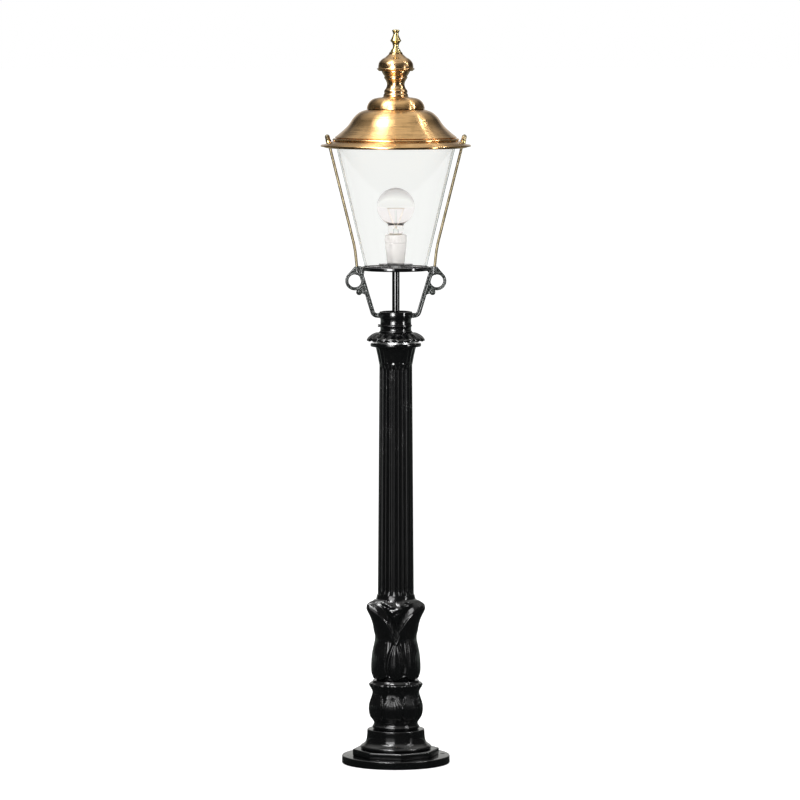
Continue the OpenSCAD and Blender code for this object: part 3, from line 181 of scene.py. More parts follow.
class Form:
    """A piece under construction, in millimetres."""

    def __init__(self) -> None:
        """Start with nothing."""
        self.mesh = bmesh.new()

    @classmethod
    def cylinder(
        cls, radius: float, low: float, high: float, sides: int = 64, tip: float | None = None
    ) -> "Form":
        """An upright cylinder or cone, used as a cutter or to be shaped further.

        Args:
            radius: its radius at the foot.
            low: height of its foot.
            high: height of its head.
            sides: number of sides.
            tip: its radius at the head, where that differs.

        Returns:
            The new form.
        """
        form = cls()
        bmesh.ops.create_cone(
            form.mesh, cap_ends=True, segments=sides, radius1=radius,
            radius2=radius if tip is None else tip, depth=high - low,
        )
        return form.shift(0, 0, (low + high) / 2)

    @classmethod
    def block(cls, low: Sequence[float], high: Sequence[float]) -> "Form":
        """A box between two corners."""
        form = cls()
        bmesh.ops.create_cube(form.mesh, size=1)
        size = Vector(high) - Vector(low)
        bmesh.ops.scale(form.mesh, vec=size, verts=form.mesh.verts)
        return form.shift(*((Vector(high) + Vector(low)) / 2))

    @classmethod
    def ball(cls, radius: float, centre: Sequence[float], sides: int = 32) -> "Form":
        """A sphere about a centre."""
        form = cls()
        bmesh.ops.create_uvsphere(form.mesh, u_segments=sides, v_segments=sides // 2, radius=radius)
        return form.shift(*centre)

    @classmethod
    def turned(cls, outline: Sequence[Point], steps: int = 160, closed: bool = False) -> "Form":
        """A shape turned about the axis from its outline.

        Args:
            outline: (radius, height) points.
            steps: number of facets round it.
            closed: joins the last point to the first, for a ring.

        Returns:
            The new form.
        """
        form = cls()
        verts = [form.mesh.verts.new((r, 0.0, z)) for r, z in outline]
        ends = verts[1:] + verts[:1] if closed else verts[1:]
        edges = [form.mesh.edges.new(pair) for pair in zip(verts, ends)]
        bmesh.ops.spin(
            form.mesh, geom=verts + edges, axis=(0, 0, 1), cent=(0, 0, 0),
            angle=2 * math.pi, steps=steps, use_merge=True,
        )
        return form.sealed()

    @classmethod
    def skin(cls, sides: int, rows: int, place: Place, looped: bool = False) -> "Form":
        """A surface laid round the axis, with its radius and height given by a rule.

        Args:
            sides: number of facets round the axis.
            rows: number of facets along the other way.
            place: takes an angle in degrees and a share of the rows, and gives radius and height.
            looped: the last row meets the first, as in a ring; else both ends are closed flat.

        Returns:
            The new form.
        """
        form = cls()
        bmesh.ops.create_grid(form.mesh, x_segments=sides, y_segments=rows, size=1)
        for vert in form.mesh.verts:
            angle = 180 * vert.co.x
            radius, height = place(angle, (vert.co.y + 1) / 2)
            turn = math.radians(angle)
            vert.co = (radius * math.cos(turn), radius * math.sin(turn), height)
        form.sealed()
        if not looped:
            rims = [edge for edge in form.mesh.edges if edge.is_boundary]
            bmesh.ops.holes_fill(form.mesh, edges=rims, sides=0)
            form.sealed()
        return form

    @classmethod
    def plate(cls, outline: Sequence[Point], depth: float) -> "Form":
        """A flat plate in the XZ plane, half its depth to each side.

        Args:
            outline: (x, z) points of its edge.
            depth: its thickness along Y.

        Returns:
            The new form.
        """
        form = cls()
        face = form.mesh.faces.new([form.mesh.verts.new((x, -depth / 2, z)) for x, z in outline])
        grown = bmesh.ops.extrude_face_region(form.mesh, geom=[face], use_keep_orig=True)["geom"]
        moved = [item for item in grown if isinstance(item, bmesh.types.BMVert)]
        bmesh.ops.translate(form.mesh, vec=(0, depth, 0), verts=moved)
        return form.sealed()

    @classmethod
    def swept(
        cls, route: Sequence[Vector], section: Section, closed: bool = False
    ) -> "Form":
        """A section carried along a route, with flat ends.

        Args:
            route: points of the centre line.
            section: takes a share of the route and gives (side, up) points round the line.
            closed: the route returns to its start.

        Returns:
            The new form.
        """
        form = cls()
        count = len(route)
        rings = []
        up = None
        for i, centre in enumerate(route):
            before = route[(i - 1) % count] if closed else route[max(i - 1, 0)]
            after = route[(i + 1) % count] if closed else route[min(i + 1, count - 1)]
            ahead = (after - before).normalized()
            if up is None:
                up = Vector((0, 0, 1)) if abs(ahead.y) > 0.9 else Vector((0, 1, 0))
            side = up.cross(ahead).normalized()
            up = ahead.cross(side).normalized()
            points = section(i / (count - 1))
            verts = [form.mesh.verts.new(centre + side * s + up * u) for s, u in points]
            rings.append([form.mesh.edges.new(pair) for pair in zip(verts, verts[1:] + verts[:1])])
        pairs = list(zip(rings, rings[1:])) + ([(rings[-1], rings[0])] if closed else [])
        for low, high in pairs:
            bmesh.ops.bridge_loops(form.mesh, edges=low + high)
        if not closed:
            bmesh.ops.holes_fill(form.mesh, edges=rings[0] + rings[-1], sides=0)
        return form.sealed()

    def sealed(self) -> "Form":
        """Merge doubles and face every surface outwards."""
        bmesh.ops.remove_doubles(self.mesh, verts=self.mesh.verts, dist=1e-4)
        bmesh.ops.recalc_face_normals(self.mesh, faces=self.mesh.faces)
        return self

    def moved(self, matrix: Matrix) -> "Form":
        """Carry the whole form by a matrix."""
        bmesh.ops.transform(self.mesh, matrix=matrix, verts=self.mesh.verts)
        return self

    def shift(self, x: float, y: float, z: float) -> "Form":
        """Move the whole form."""
        return self.moved(Matrix.Translation((x, y, z)))

    def turn(self, angle: float, axis: str = "Z") -> "Form":
        """Turn the whole form about an axis through the origin, in degrees."""
        return self.moved(Matrix.Rotation(math.radians(angle), 4, axis))

    def mirrored(self) -> "Form":
        """The same form on the other side of the YZ plane."""
        twin = self.copy()
        bmesh.ops.scale(twin.mesh, vec=(-1, 1, 1), verts=twin.mesh.verts)
        bmesh.ops.recalc_face_normals(twin.mesh, faces=twin.mesh.faces)
        return twin

    def copy(self) -> "Form":
        """A second form like this one."""
        twin = Form()
        twin.mesh = self.mesh.copy()
        return twin

    def join(self, *others: "Form") -> "Form":
        """Add other forms as loose shells."""
        for other in others:
            held = bpy.data.meshes.new("held")
            other.mesh.to_mesh(held)
            self.mesh.from_mesh(held)
            bpy.data.meshes.remove(held)
        return self

    def around(self, count: int, start: float = 0.0) -> "Form":
        """The same form at count equal angles, joined."""
        whole = Form()
        return whole.join(*(self.copy().turn(start + i * 360 / count) for i in range(count)))

    def round_edges(self, width: float, segments: int = 3, sharper_than: float = 35) -> "Form":
        """Bevel the edges that turn more than an angle.

        Args:
            width: width of the bevel.
            segments: number of facets over it.
            sharper_than: the least angle between faces, in degrees.

        Returns:
            This form.
        """
        limit = math.radians(sharper_than)
        edges = [e for e in self.mesh.edges if e.is_manifold and e.calc_face_angle() > limit]
        bmesh.ops.bevel(
            self.mesh, geom=edges, offset=width, offset_type="OFFSET", segments=segments,
            profile=0.5, affect="EDGES", material=-1, clamp_overlap=True,
        )
        return self

    def baked(self, *steps: tuple[str, dict[str, object]]) -> "Form":
        """Apply modifiers to the form.

        Args:
            steps: modifier types, each with its settings.

        Returns:
            This form.
        """
        holder = self.to_object("held")
        for kind, settings in steps:
            modifier = holder.modifiers.new(kind, kind)
            for key, value in settings.items():
                setattr(modifier, key, value)
        graph = bpy.context.evaluated_depsgraph_get()
        shaped = bpy.data.meshes.new_from_object(holder.evaluated_get(graph))
        self.mesh.clear()
        self.mesh.from_mesh(shaped)
        bmesh.ops.scale(self.mesh, vec=Vector((1, 1, 1)) / MM, verts=self.mesh.verts)
        discard(holder)
        bpy.data.meshes.remove(shaped)
        return self

    def combined(self, way: str, other: "Form") -> "Form":
        """Work another form into this one, where way is UNION or DIFFERENCE."""
        tool = other.to_object("tool")
        self.baked(("BOOLEAN", {"operation": way, "solver": "EXACT", "object": tool}))
        discard(tool)
        return self

    def drilled(self, *cutters: "Form") -> "Form":
        """Cut other forms out of this one."""
        for cutter in cutters:
            self.combined("DIFFERENCE", cutter)
        return self

    def united(self, *others: "Form") -> "Form":
        """Make this form and others one solid."""
        for other in others:
            self.combined("UNION", other)
        return self

    def to_object(self, name: str, crease: float = 32) -> bpy.types.Object:
        """Make a Blender object of the form, in metres, with its place in its mesh.

        Args:
            name: name of the object.
            crease: edges that turn more than this stay sharp, in degrees.

        Returns:
            The new object, in the scene.
        """
        data = bpy.data.meshes.new(name)
        scaled = self.mesh.copy()
        bmesh.ops.scale(scaled, vec=(MM, MM, MM), verts=scaled.verts)
        for face in scaled.faces:
            face.smooth = True
        scaled.to_mesh(data)
        scaled.free()
        data.set_sharp_from_angle(angle=math.radians(crease))
        return in_scene(name, data)


class Wire:
    """A socket of a shader, with the arithmetic that adds its Math nodes."""

    def __init__(self, net: "Net", socket: bpy.types.NodeSocket) -> None:
        """Keep the socket and the net it belongs to."""
        self.net = net
        self.socket = socket

    def __add__(self, other: "Value") -> "Wire":
        """Sum with a value."""
        return self.net.math("ADD", self, other)

    def __radd__(self, other: "Value") -> "Wire":
        """Sum with a value on the left."""
        return self.net.math("ADD", other, self)

    def __sub__(self, other: "Value") -> "Wire":
        """Difference from a value."""
        return self.net.math("SUBTRACT", self, other)

    def __rsub__(self, other: "Value") -> "Wire":
        """Difference of a value on the left."""
        return self.net.math("SUBTRACT", other, self)

    def __mul__(self, other: "Value") -> "Wire":
        """Product with a value."""
        return self.net.math("MULTIPLY", self, other)

    def __rmul__(self, other: "Value") -> "Wire":
        """Product with a value on the left."""
        return self.net.math("MULTIPLY", other, self)

    def __truediv__(self, other: "Value") -> "Wire":
        """Quotient by a value."""
        return self.net.math("DIVIDE", self, other)

    def __rtruediv__(self, other: "Value") -> "Wire":
        """Quotient of a value on the left."""
        return self.net.math("DIVIDE", other, self)


Value = Wire | float
Colour = tuple[float, float, float, float]


class Net:
    """The nodes of one material or world."""

    def __init__(self, tree: bpy.types.NodeTree) -> None:
        """Empty the tree and keep it."""
        self.tree = tree
        tree.nodes.clear()

    def node(
        self, kind: str, settings: dict | None = None, sockets: dict | None = None
    ) -> bpy.types.Node:
        """Add one node.

        Args:
            kind: the node's type.
            settings: its properties, set before its sockets.
            sockets: values or wires of its inputs, by name or number.

        Returns:
            The new node.
        """
        made = self.tree.nodes.new(kind)
        for key, value in (settings or {}).items():
            setattr(made, key, value)
        for key, value in (sockets or {}).items():
            target = made.inputs[key]
            if isinstance(value, Wire):
                self.tree.links.new(value.socket, target)
            else:
                target.default_value = value
        return made

    def wire(self, node: bpy.types.Node, output: str | int = 0) -> Wire:
        """One output of a node as a wire."""
        return Wire(self, node.outputs[output])

    def math(self, operation: str, *values: Value) -> Wire:
        """A Math node on values or wires."""
        sockets = dict(enumerate(values))
        return self.wire(self.node("ShaderNodeMath", {"operation": operation}, sockets))

    def spot(self) -> Wire:
        """Object coordinates, in metres."""
        return self.wire(self.node("ShaderNodeTexCoord"), "Object")

    def stretched(self, x: float, y: float, z: float) -> Wire:
        """Object coordinates scaled along each axis."""
        sockets = {"Vector": self.spot(), "Scale": (x, y, z)}
        return self.wire(self.node("ShaderNodeMapping", {}, sockets))

    def axes(self) -> tuple[Wire, Wire, Wire]:
        """X, Y and Z of the object coordinates."""
        parts = self.node("ShaderNodeSeparateXYZ", {}, {0: self.spot()})
        return self.wire(parts, 0), self.wire(parts, 1), self.wire(parts, 2)

    def noise(
        self, size: float, detail: float = 3, rough: float = 0.5, at: Wire | None = None
    ) -> Wire:
        """Noise from 0 to 1 with grains of a size.

        Args:
            size: size of a grain in millimetres.
            detail: number of finer layers.
            rough: share of the finer layers.
            at: coordinates, where they aren't the plain object coordinates.

        Returns:
            The noise value.
        """
        sockets = {
            "Vector": at or self.spot(), "Scale": 1 / (size * MM),
            "Detail": detail, "Roughness": rough,
        }
        return self.wire(self.node("ShaderNodeTexNoise", {"normalize": True}, sockets), "Fac")

    def step(
        self, value: Wire, low: float, high: float, start: float = 0.0, end: float = 1.0
    ) -> Wire:
        """Carry a value from low..high onto start..end, with soft ends.

        Args:
            value: the value.
            low: value that gives start.
            high: value that gives end.
            start: result at low.
            end: result at high.

        Returns:
            The new value.
        """
        settings = {"interpolation_type": "SMOOTHSTEP"}
        sockets = {0: value, 1: low, 2: high, 3: start, 4: end}
        return self.wire(self.node("ShaderNodeMapRange", settings, sockets))

    def mix(self, share: Value, first: Wire | Colour, second: Wire | Colour) -> Wire:
        """Mix two colours.

        Args:
            share: share of the second.
            first: colour at 0.
            second: colour at 1.

        Returns:
            The mixed colour.
        """
        sockets = {0: share, 6: first, 7: second}
        return self.wire(self.node("ShaderNodeMix", {"data_type": "RGBA"}, sockets), 2)

    def blend(self, share: Value, first: Wire, second: Wire) -> Wire:
        """Mix two shaders, where share is the part of the second."""
        return self.wire(self.node("ShaderNodeMixShader", {}, {0: share, 1: first, 2: second}))

    def bump(self, height: Wire, depth: float) -> Wire:
        """A normal bumped by a height.

        Args:
            height: height from 0 to 1.
            depth: depth of the relief in millimetres.

        Returns:
            The normal.
        """
        sockets = {"Strength": 1.0, "Distance": depth * MM, "Height": height}
        return self.wire(self.node("ShaderNodeBump", {}, sockets))

    def principled(self, **sockets: Wire | float | Colour) -> Wire:
        """A Principled shader, with its sockets named in words joined by underscores."""
        named = {key.replace("_", " "): value for key, value in sockets.items()}
        return self.wire(self.node("ShaderNodeBsdfPrincipled", {}, named))

    def output(self, shader: Wire) -> None:
        """Lead a shader to the material's output."""
        self.node("ShaderNodeOutputMaterial", {}, {0: shader})

    def surface(self, **sockets: Wire | float | Colour) -> None:
        """A Principled shader on the output."""
        self.output(self.principled(**sockets))


@dataclass(frozen=True)
class Finish:
    """A finish that paints a material of its own name."""

    name: str
    title: str = field(default="finish", kw_only=True)

    def material(self) -> bpy.types.Material:
        """The material, made the first time it is asked for."""
        title = f"{self.name}_{self.title}"
        made = bpy.data.materials.get(title)
        if made is None:
            made = bpy.data.materials.new(title)
            made.use_nodes = True
            self.paint(Net(made.node_tree))
        return made

    def paint(self, net: Net) -> None:
        """Add the nodes of the finish."""
        raise NotImplementedError


@dataclass(frozen=True)
class CastEnamel(Finish):
    """Gloss black enamel over the skin of a sand casting."""

    grain: float = 2.6
    relief: float = 0.3
    roughness: float = 0.11
    # share of grey patches of painted sheen, which stand in for glints of the white surroundings
    painted_sheen: float = 0.0
    enamel: Colour = (0.0035, 0.0037, 0.004, 1)
    dusty: Colour = (0.01, 0.01, 0.009, 1)
    speckled: Colour = (0.03, 0.031, 0.03, 1)
    sheen_grey: Colour = (0.2, 0.225, 0.21, 1)

    def paint(self, net: Net) -> None:
        """Cast grain and pits under the enamel, with dust in the low places, and grey patches of
        painted sheen on the high grain.
        """
        swell = net.noise(self.grain * 5, 2)
        grain = net.noise(self.grain, 4, 0.62)
        pits = net.step(net.noise(self.grain * 0.45, 2, 0.5), 0.3, 0.46)
        patch = net.step(net.noise(self.grain * 17, 3, 0.6), 0.52, 0.68)
        height = swell * 0.45 + (grain * 0.3 + pits * 0.25) * (patch * 0.8 + 0.12)
        dust = net.step(net.noise(self.grain * 9, 5, 0.65), 0.52, 0.78)
        speck = net.step(net.noise(self.grain * 0.5, 2, 0.5), 0.7, 0.76)
        colour = net.mix(dust * 0.4, self.enamel, self.dusty)
        colour = net.mix(speck * 0.5, colour, self.speckled)
        # painted sheen: grey patches on the high grain stand in for glints of the white
        # surroundings
        colour = net.mix(net.step(grain, 0.5, 0.6) * self.painted_sheen, colour, self.sheen_grey)
        rough = self.roughness + dust * 0.07 + (grain - 0.5) * 0.05
        net.surface(Base_Color=colour, Roughness=rough, Normal=net.bump(height, self.relief))


@dataclass(frozen=True)
class Painted(Finish):
    """Smooth painted or moulded surface of one colour."""

    colour: Colour = (0.004, 0.004, 0.0045, 1)
    roughness: float = 0.1
    relief: float = 0.006
    grain: float = 1.2

    def paint(self, net: Net) -> None:
        """Even colour with a fine skin."""
        skin = net.noise(self.grain, 3)
        cloud = net.noise(self.grain * 20, 3)
        darker = tuple(c * 0.8 for c in self.colour[:3]) + (1,)
        colour = net.mix(cloud, self.colour, darker)
        rough = self.roughness + (skin - 0.5) * 0.08
        net.surface(Base_Color=colour, Roughness=rough, Normal=net.bump(skin, self.relief))


@dataclass(frozen=True)
class Zinc(Finish):
    """Bright zinc plate on machined steel."""

    dark: Colour = (0.5, 0.51, 0.52, 1)
    light: Colour = (0.66, 0.66, 0.65, 1)
    roughness: float = 0.28
    relief: float = 0.015

    def paint(self, net: Net) -> None:
        """Cloudy plate with fine tool marks along Z."""
        cloud = net.noise(5, 4, 0.6)
        marks = net.bump(net.noise(1, 2, 0.5, net.stretched(1, 1, 7)), self.relief)
        rough = self.roughness + cloud * 0.16
        colour = net.mix(cloud, self.dark, self.light)
        net.surface(Base_Color=colour, Metallic=1.0, Roughness=rough, Normal=marks)


@dataclass(frozen=True)
class SpunMetal(Finish):
    """Metal spun or turned about the axis of the post, with its rings of tool marks."""

    colour: Colour = (0.8, 0.49, 0.215, 1)
    shade: Colour = (0.29, 0.17, 0.06, 1)
    roughness: float = 0.25
    ring: float = 0.5
    relief: float = 0.008
    stretch: float = 1.0
    turned: float = 0.25
    mottle: float = 26.0
    coat: float = 0.12
    stain: float = 0.68

    def rings(self, net: Net, size: float, along: float) -> Wire:
        """Noise drawn out round the axis.

        Args:
            net: the net it goes in.
            size: width of a ring in millimetres.
            along: how often it changes on the way round.

        Returns:
            The noise value.
        """
        x, y, z = net.axes()
        radius = net.math("SQRT", x * x + y * y + 1e-9)
        pitch = 1 / (size * MM)
        parts = {0: x / radius * along, 1: y / radius * along, 2: radius * pitch}
        place = net.wire(net.node("ShaderNodeCombineXYZ", {}, parts))
        settings = {"noise_dimensions": "4D", "normalize": True}
        sockets = {"Vector": place, "W": z * pitch, "Scale": 1.0, "Detail": 3.0, "Roughness": 0.6}
        return net.wire(net.node("ShaderNodeTexNoise", settings, sockets), "Fac")

    def paint(self, net: Net) -> None:
        """Fine and broad rings, with a warm patchy tarnish."""
        fine = self.rings(net, self.ring, 2.5)
        broad = self.rings(net, self.ring * 6, 1.6)
        cloud = net.noise(self.mottle, 4, 0.6)
        tarnish = net.step(cloud * 0.4 + broad * 0.6, 0.44, 0.66) * self.stain
        colour = net.mix(tarnish, self.colour, self.shade)
        colour = net.mix(net.step(fine, 0.35, 0.7) * 0.22, colour, self.shade)
        rough = self.roughness + (fine - 0.5) * 0.06 + tarnish * 0.06
        net.surface(
            Base_Color=colour, Metallic=1.0, Roughness=rough, Normal=net.bump(fine, self.relief),
            Coat_Weight=self.coat, Coat_Roughness=self.roughness,
            Anisotropic=self.stretch, Anisotropic_Rotation=self.turned,
        )


@dataclass(frozen=True)
class ClearGlass(Finish):
    """Clear glass that lets light and shadow through."""

    tint: Colour = (1, 1, 1, 1)
    ior: float = 1.42
    roughness: float = 0.0
    clear: float = 0.0
    milk: float = 0.0
    veil: Colour = (0.8, 0.8, 0.79, 1)
    veil_roughness: float = 0.35

    def paint(self, net: Net) -> None:
        """Refracting glass, plain clear to shadow rays, with a share that is clear or milky."""
        glass = net.principled(
            Base_Color=self.tint, Transmission_Weight=1.0, IOR=self.ior, Roughness=self.roughness,
        )
        through = net.wire(net.node("ShaderNodeBsdfTransparent", {}, {"Color": self.tint}))
        shadow = net.wire(net.node("ShaderNodeLightPath"), "Is Shadow Ray")
        shell = net.blend(net.math("MAXIMUM", shadow, self.clear), glass, through)
        if self.milk:
            veil = net.principled(Base_Color=self.veil, Roughness=self.veil_roughness)
            shell = net.blend(self.milk, shell, veil)
        net.output(shell)


@dataclass(frozen=True)
class Porcelain(Finish):
    """Glazed white porcelain."""

    glaze: Colour = (0.87, 0.862, 0.835, 1)
    shade: Colour = (0.83, 0.82, 0.79, 1)
    roughness: float = 0.1
    relief: float = 0.05
    coat: float = 0.5

    def paint(self, net: Net) -> None:
        """White body under a clear glaze with a slight swell."""
        swell = net.noise(14, 2)
        colour = net.mix(swell, self.glaze, self.shade)
        rough = self.roughness + swell * 0.08
        skin = net.bump(swell, self.relief)
        net.surface(Base_Color=colour, Roughness=rough, Normal=skin, Coat_Weight=self.coat)


class Look(Enum):
    """The finishes of the light, by the slot each one fills."""

    CAST_BLACK = CastEnamel("cast_black")
    # rough black of the brackets, with grey patches of painted sheen
    ROUGH_BLACK = CastEnamel(
        "cast_black", grain=1.7, relief=0.9, roughness=0.16, painted_sheen=0.8, title="rough",
    )
    BLACK_STEEL = Painted("black_steel")
    ZINC = Zinc("zinc_steel")
    BLACK_RUBBER = Painted(
        "black_rubber", colour=(0.02, 0.02, 0.021, 1), roughness=0.62, relief=0.05, grain=0.8,
    )
    GREY_RUBBER = Painted(
        "grey_rubber", colour=(0.05, 0.05, 0.052, 1), roughness=0.6, relief=0.05, grain=0.8,
    )
    LANTERN_GLASS = ClearGlass("lantern_glass", tint=(0.996, 0.987, 0.987, 1), ior=1.36)
    LAMP_GLASS = ClearGlass(
        "lamp_glass", tint=(0.99, 0.986, 0.98, 1), ior=1.22, roughness=0.02, milk=0.006,
    )
    STEM_GLASS = ClearGlass("stem_glass", tint=(0.96, 0.98, 0.97, 1), ior=1.45, clear=0.3)
    PORCELAIN = Porcelain("porcelain")
    DULL_BRASS = SpunMetal(
        "yellow_brass", colour=(0.2, 0.165, 0.1, 1), shade=(0.1, 0.078, 0.045, 1), roughness=0.4,
        ring=0.6, stretch=0.2, title="dull",
    )
    BRASS = SpunMetal(
        "yellow_brass", colour=(0.6, 0.47, 0.2, 1), shade=(0.24, 0.17, 0.07, 1), roughness=0.22,
        ring=0.3, stretch=0.3, mottle=14, stain=0.35,
    )
    COPPER = SpunMetal("brushed_copper")
    TURNED_COPPER = SpunMetal(
        "brushed_copper", colour=(0.62, 0.4, 0.2, 1), shade=(0.2, 0.11, 0.04, 1), roughness=0.24,
        ring=0.4, relief=0.006, stretch=0.6, title="turned",
    )
    NICKEL = SpunMetal(
        "nickel", colour=(0.74, 0.72, 0.66, 1), shade=(0.5, 0.48, 0.43, 1), roughness=0.22,
        ring=0.3, relief=0.01, stretch=0.3, mottle=8, stain=0.2,
    )
    FILAMENT = SpunMetal(
        "filament_wire", colour=(0.74, 0.66, 0.56, 1), shade=(0.6, 0.52, 0.44, 1), roughness=0.4,
        ring=0.2, relief=0.0, stretch=0.0, mottle=3, stain=0.4,
    )


class Assembly:
    """A group of pieces that ride on one body of the frame."""

    title = "assembly"
    body = "post"
    log = logging.getLogger("garden_post_light")

    def add(self, form: Form, name: str, look: Look, *nodes: str, body: str = "") -> None:
        """Make a piece, dress it and let it stand for nodes of the frame.

        Args:
            form: the piece in millimetres.
            name: its name.
            look: its finish.
            nodes: nodes it stands for.
            body: body it rides on, where that isn't the assembly's own.
        """
        made = form.to_object(name)
        made.data.materials.append(look.value.material())
        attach(made, body or self.body)
        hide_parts(*nodes)
        self.log.info("%s: %s, %d faces", self.title, name, len(made.data.polygons))

    def dress(self, look: Look, *nodes: str) -> None:
        """Give nodes that are shown as they are their finish."""
        for node in nodes:
            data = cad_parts[node].data
            data.materials.clear()
            data.materials.append(look.value.material())
            self.log.info("%s: %s keeps its own mesh", self.title, node)


@dataclass
class Foot(Assembly):
    """Round plate on the ground and the octagonal foot casting on it."""

    title = "foot"
    bolt_circle: float = 200
    bolt_hole: float = 9
    bolts: int = 3
    bolt_angle: float = 7.5
    mouth_w: float = 1.4
    mouth_h: float = 0.9
    plate_edge: float = 2.2
    corner_angle: float = 7.5
    recess_r: float = 29
    recess_h: float = 9
    bore_r: float = 17.2
    plinth_h: float = 13.5
    plinth_edge: float = 2.4
    bead_h: float = 8
    bead_r: float = 75
    drum_r: float = 60.4
    drum_edge: float = 1.8
    hollow_r: float = 33
    plate: Span = span("foot_plate")
    casting: Span = span("foot_casting")

    def ground_plate(self) -> Form:
        """Plate with rounded edges, bolt holes with a sunk mouth, and the recess below."""
        r, top, edge, hole = self.plate.reach, self.plate.high, self.plate_edge, self.bolt_hole / 2
        outline = [(self.recess_r, 0), (r - 1, 0), (r, 1)]
        outline += arc((r - edge, top - edge), edge, 0, 90, 6) + [(self.bore_r, top)]
        outline += [(self.bore_r, self.recess_h), (self.recess_r, self.recess_h)]
        plate = Form.turned(outline, 240, closed=True)
        for cutter in (
            Form.cylinder(hole, -1, top + 1, 40),
            Form.cylinder(hole, top - self.mouth_h, top + 0.5, 40, tip=hole + self.mouth_w),
        ):
            cutter.shift(self.bolt_circle / 2, 0, 0)
            plate.drilled(cutter.around(self.bolts, self.bolt_angle))
        return plate

    def foot_casting(self) -> Form:
        """Octagon with softened edges, a bead and the flared drum, hollow inside."""
        low, top = self.casting.low, self.casting.high
        bead_z = low + self.plinth_h
        drum_z = bead_z + self.bead_h
        plinth = Form.cylinder(self.casting_corner(), low, bead_z, 8).turn(self.corner_angle)
        plinth.round_edges(self.plinth_edge, 4, 20)
        rows = profile(self.drum_r, top - drum_z, [(8.2, 0.07), (3.4, 0.22), (1, 0.5), (0.2, 0.86)])
        flare = Curve([(self.bead_r - 2.6, drum_z)] + raised(rows, drum_z)).line(8)
        half, edge = self.bead_h / 2, self.drum_edge
        outline = [(self.hollow_r, low), (self.bead_r - half, low + 2)]
        outline += arc((self.bead_r - half, bead_z + half), half, -90, 66, 12) + flare
        outline += arc((self.drum_r - edge, top - edge), edge, 0, 90, 5) + [(self.hollow_r, top)]
        return plinth.united(Form.turned(outline, 240, closed=True))

    def casting_corner(self) -> float:
        """Corner radius of the octagon, from the frame's box of the turned casting."""
        return self.casting.reach / math.cos(math.radians(self.corner_angle))

    def build(self) -> None:
        """Make and dress the pieces."""
        self.add(self.ground_plate(), "ground_plate", Look.CAST_BLACK, "foot_plate")
        self.add(self.foot_casting(), "octagonal_foot", Look.CAST_BLACK, "foot_casting")
        self.dress(Look.ZINC, "tie_tube", "tie_nut_lower", "tie_nut_upper")
        self.dress(Look.BLACK_RUBBER, "cable_bush")


@dataclass
class Bulb(Assembly):
    """Bulb casting with its leaves and frilled ring."""

    title = "bulb"
    foot_r: float = 46.3
    belly_r: float = 57
    neck_r: float = 50
    ring_r: float = 57
    leaves: int = 8
    leaf_turn: float = -97.5
    leaf_half: float = 21.5
    cleft: float = 2.6
    rib_h: float = 0.75
    rim_h: float = 0.55
    frills: int = 20
    frill_h: float = 0.9
    casting: Span = span("bulb_casting")

    def __post_init__(self) -> None:
        """Draw the outline from the sizes."""
        height = self.casting.height
        foot = [(0.6, 0), (3, 0.03), (3.2, 0.062), (0.8, 0.092), (0, 0.135), (2.2, 0.175)]
        belly = [(-2.4, 0.27), (-0.3, 0.36), (0, 0.44), (-0.9, 0.52), (-3.4, 0.6)]
        neck = [(0.8, 0.68), (-0.4, 0.745), (0.4, 0.79), (3.2, 0.835)]
        ring = [(-1.6, 0.868), (-0.2, 0.9), (-1.4, 0.935), (-6, 0.955), (-7.4, 0.975), (-9, 1)]
        self.outline = Curve(
            profile(self.foot_r, height, foot) + profile(self.belly_r, height, belly)
            + profile(self.neck_r, height, neck) + profile(self.ring_r, height, ring)
        )

    def leaf(self, angle: float, up: float) -> float:
        """Height of the leaves over the bulb's plain outline.

        Args:
            angle: direction in degrees.
            up: height as a share of the casting.

        Returns:
            Height in millimetres, outwards.
        """
        off = off_axis(angle - self.leaf_turn, self.leaves)
        rise = ease(0.13, 0.3, up) * (1 - ease(0.66, 0.76, up))
        width = self.leaf_half * ease(0.1, 0.36, up) ** 0.6 * (1 - 0.3 * ease(0.45, 0.75, up))
        inside = 1 - ease(width - 1.4, width + 1.6, abs(off))
        fold = 2.6 + 5.4 * (1 - ease(0.42, 0.74, up))
        ribs = 0.5 + 0.5 * math.cos(2 * math.pi * off / fold)
        rim = self.rim_h * hill(abs(off) - width + 1.2, 1.3)
        return rise * (self.cleft * (inside - 1) + inside * (self.rib_h * ribs - 0.4) + rim)

    def place(self, angle: float, share: float) -> Point:
        """Radius and height of the casting."""
        radius, z = self.outline.at(share)
        up = z / self.casting.height
        wave = math.cos(math.radians(angle * self.frills))
        frill = ease(0.8, 0.87, up) * (1 - ease(0.91, 0.965, up))
        radius += self.leaf(angle, up)
        radius += (self.frill_h * wave - self.frill_h) * frill
        return radius, self.casting.low + z + 0.5 * wave * frill

    def build(self) -> None:
        """Make and dress the pieces."""
        self.add(Form.skin(320, 150, self.place), "leaf_bulb", Look.CAST_BLACK, "bulb_casting")


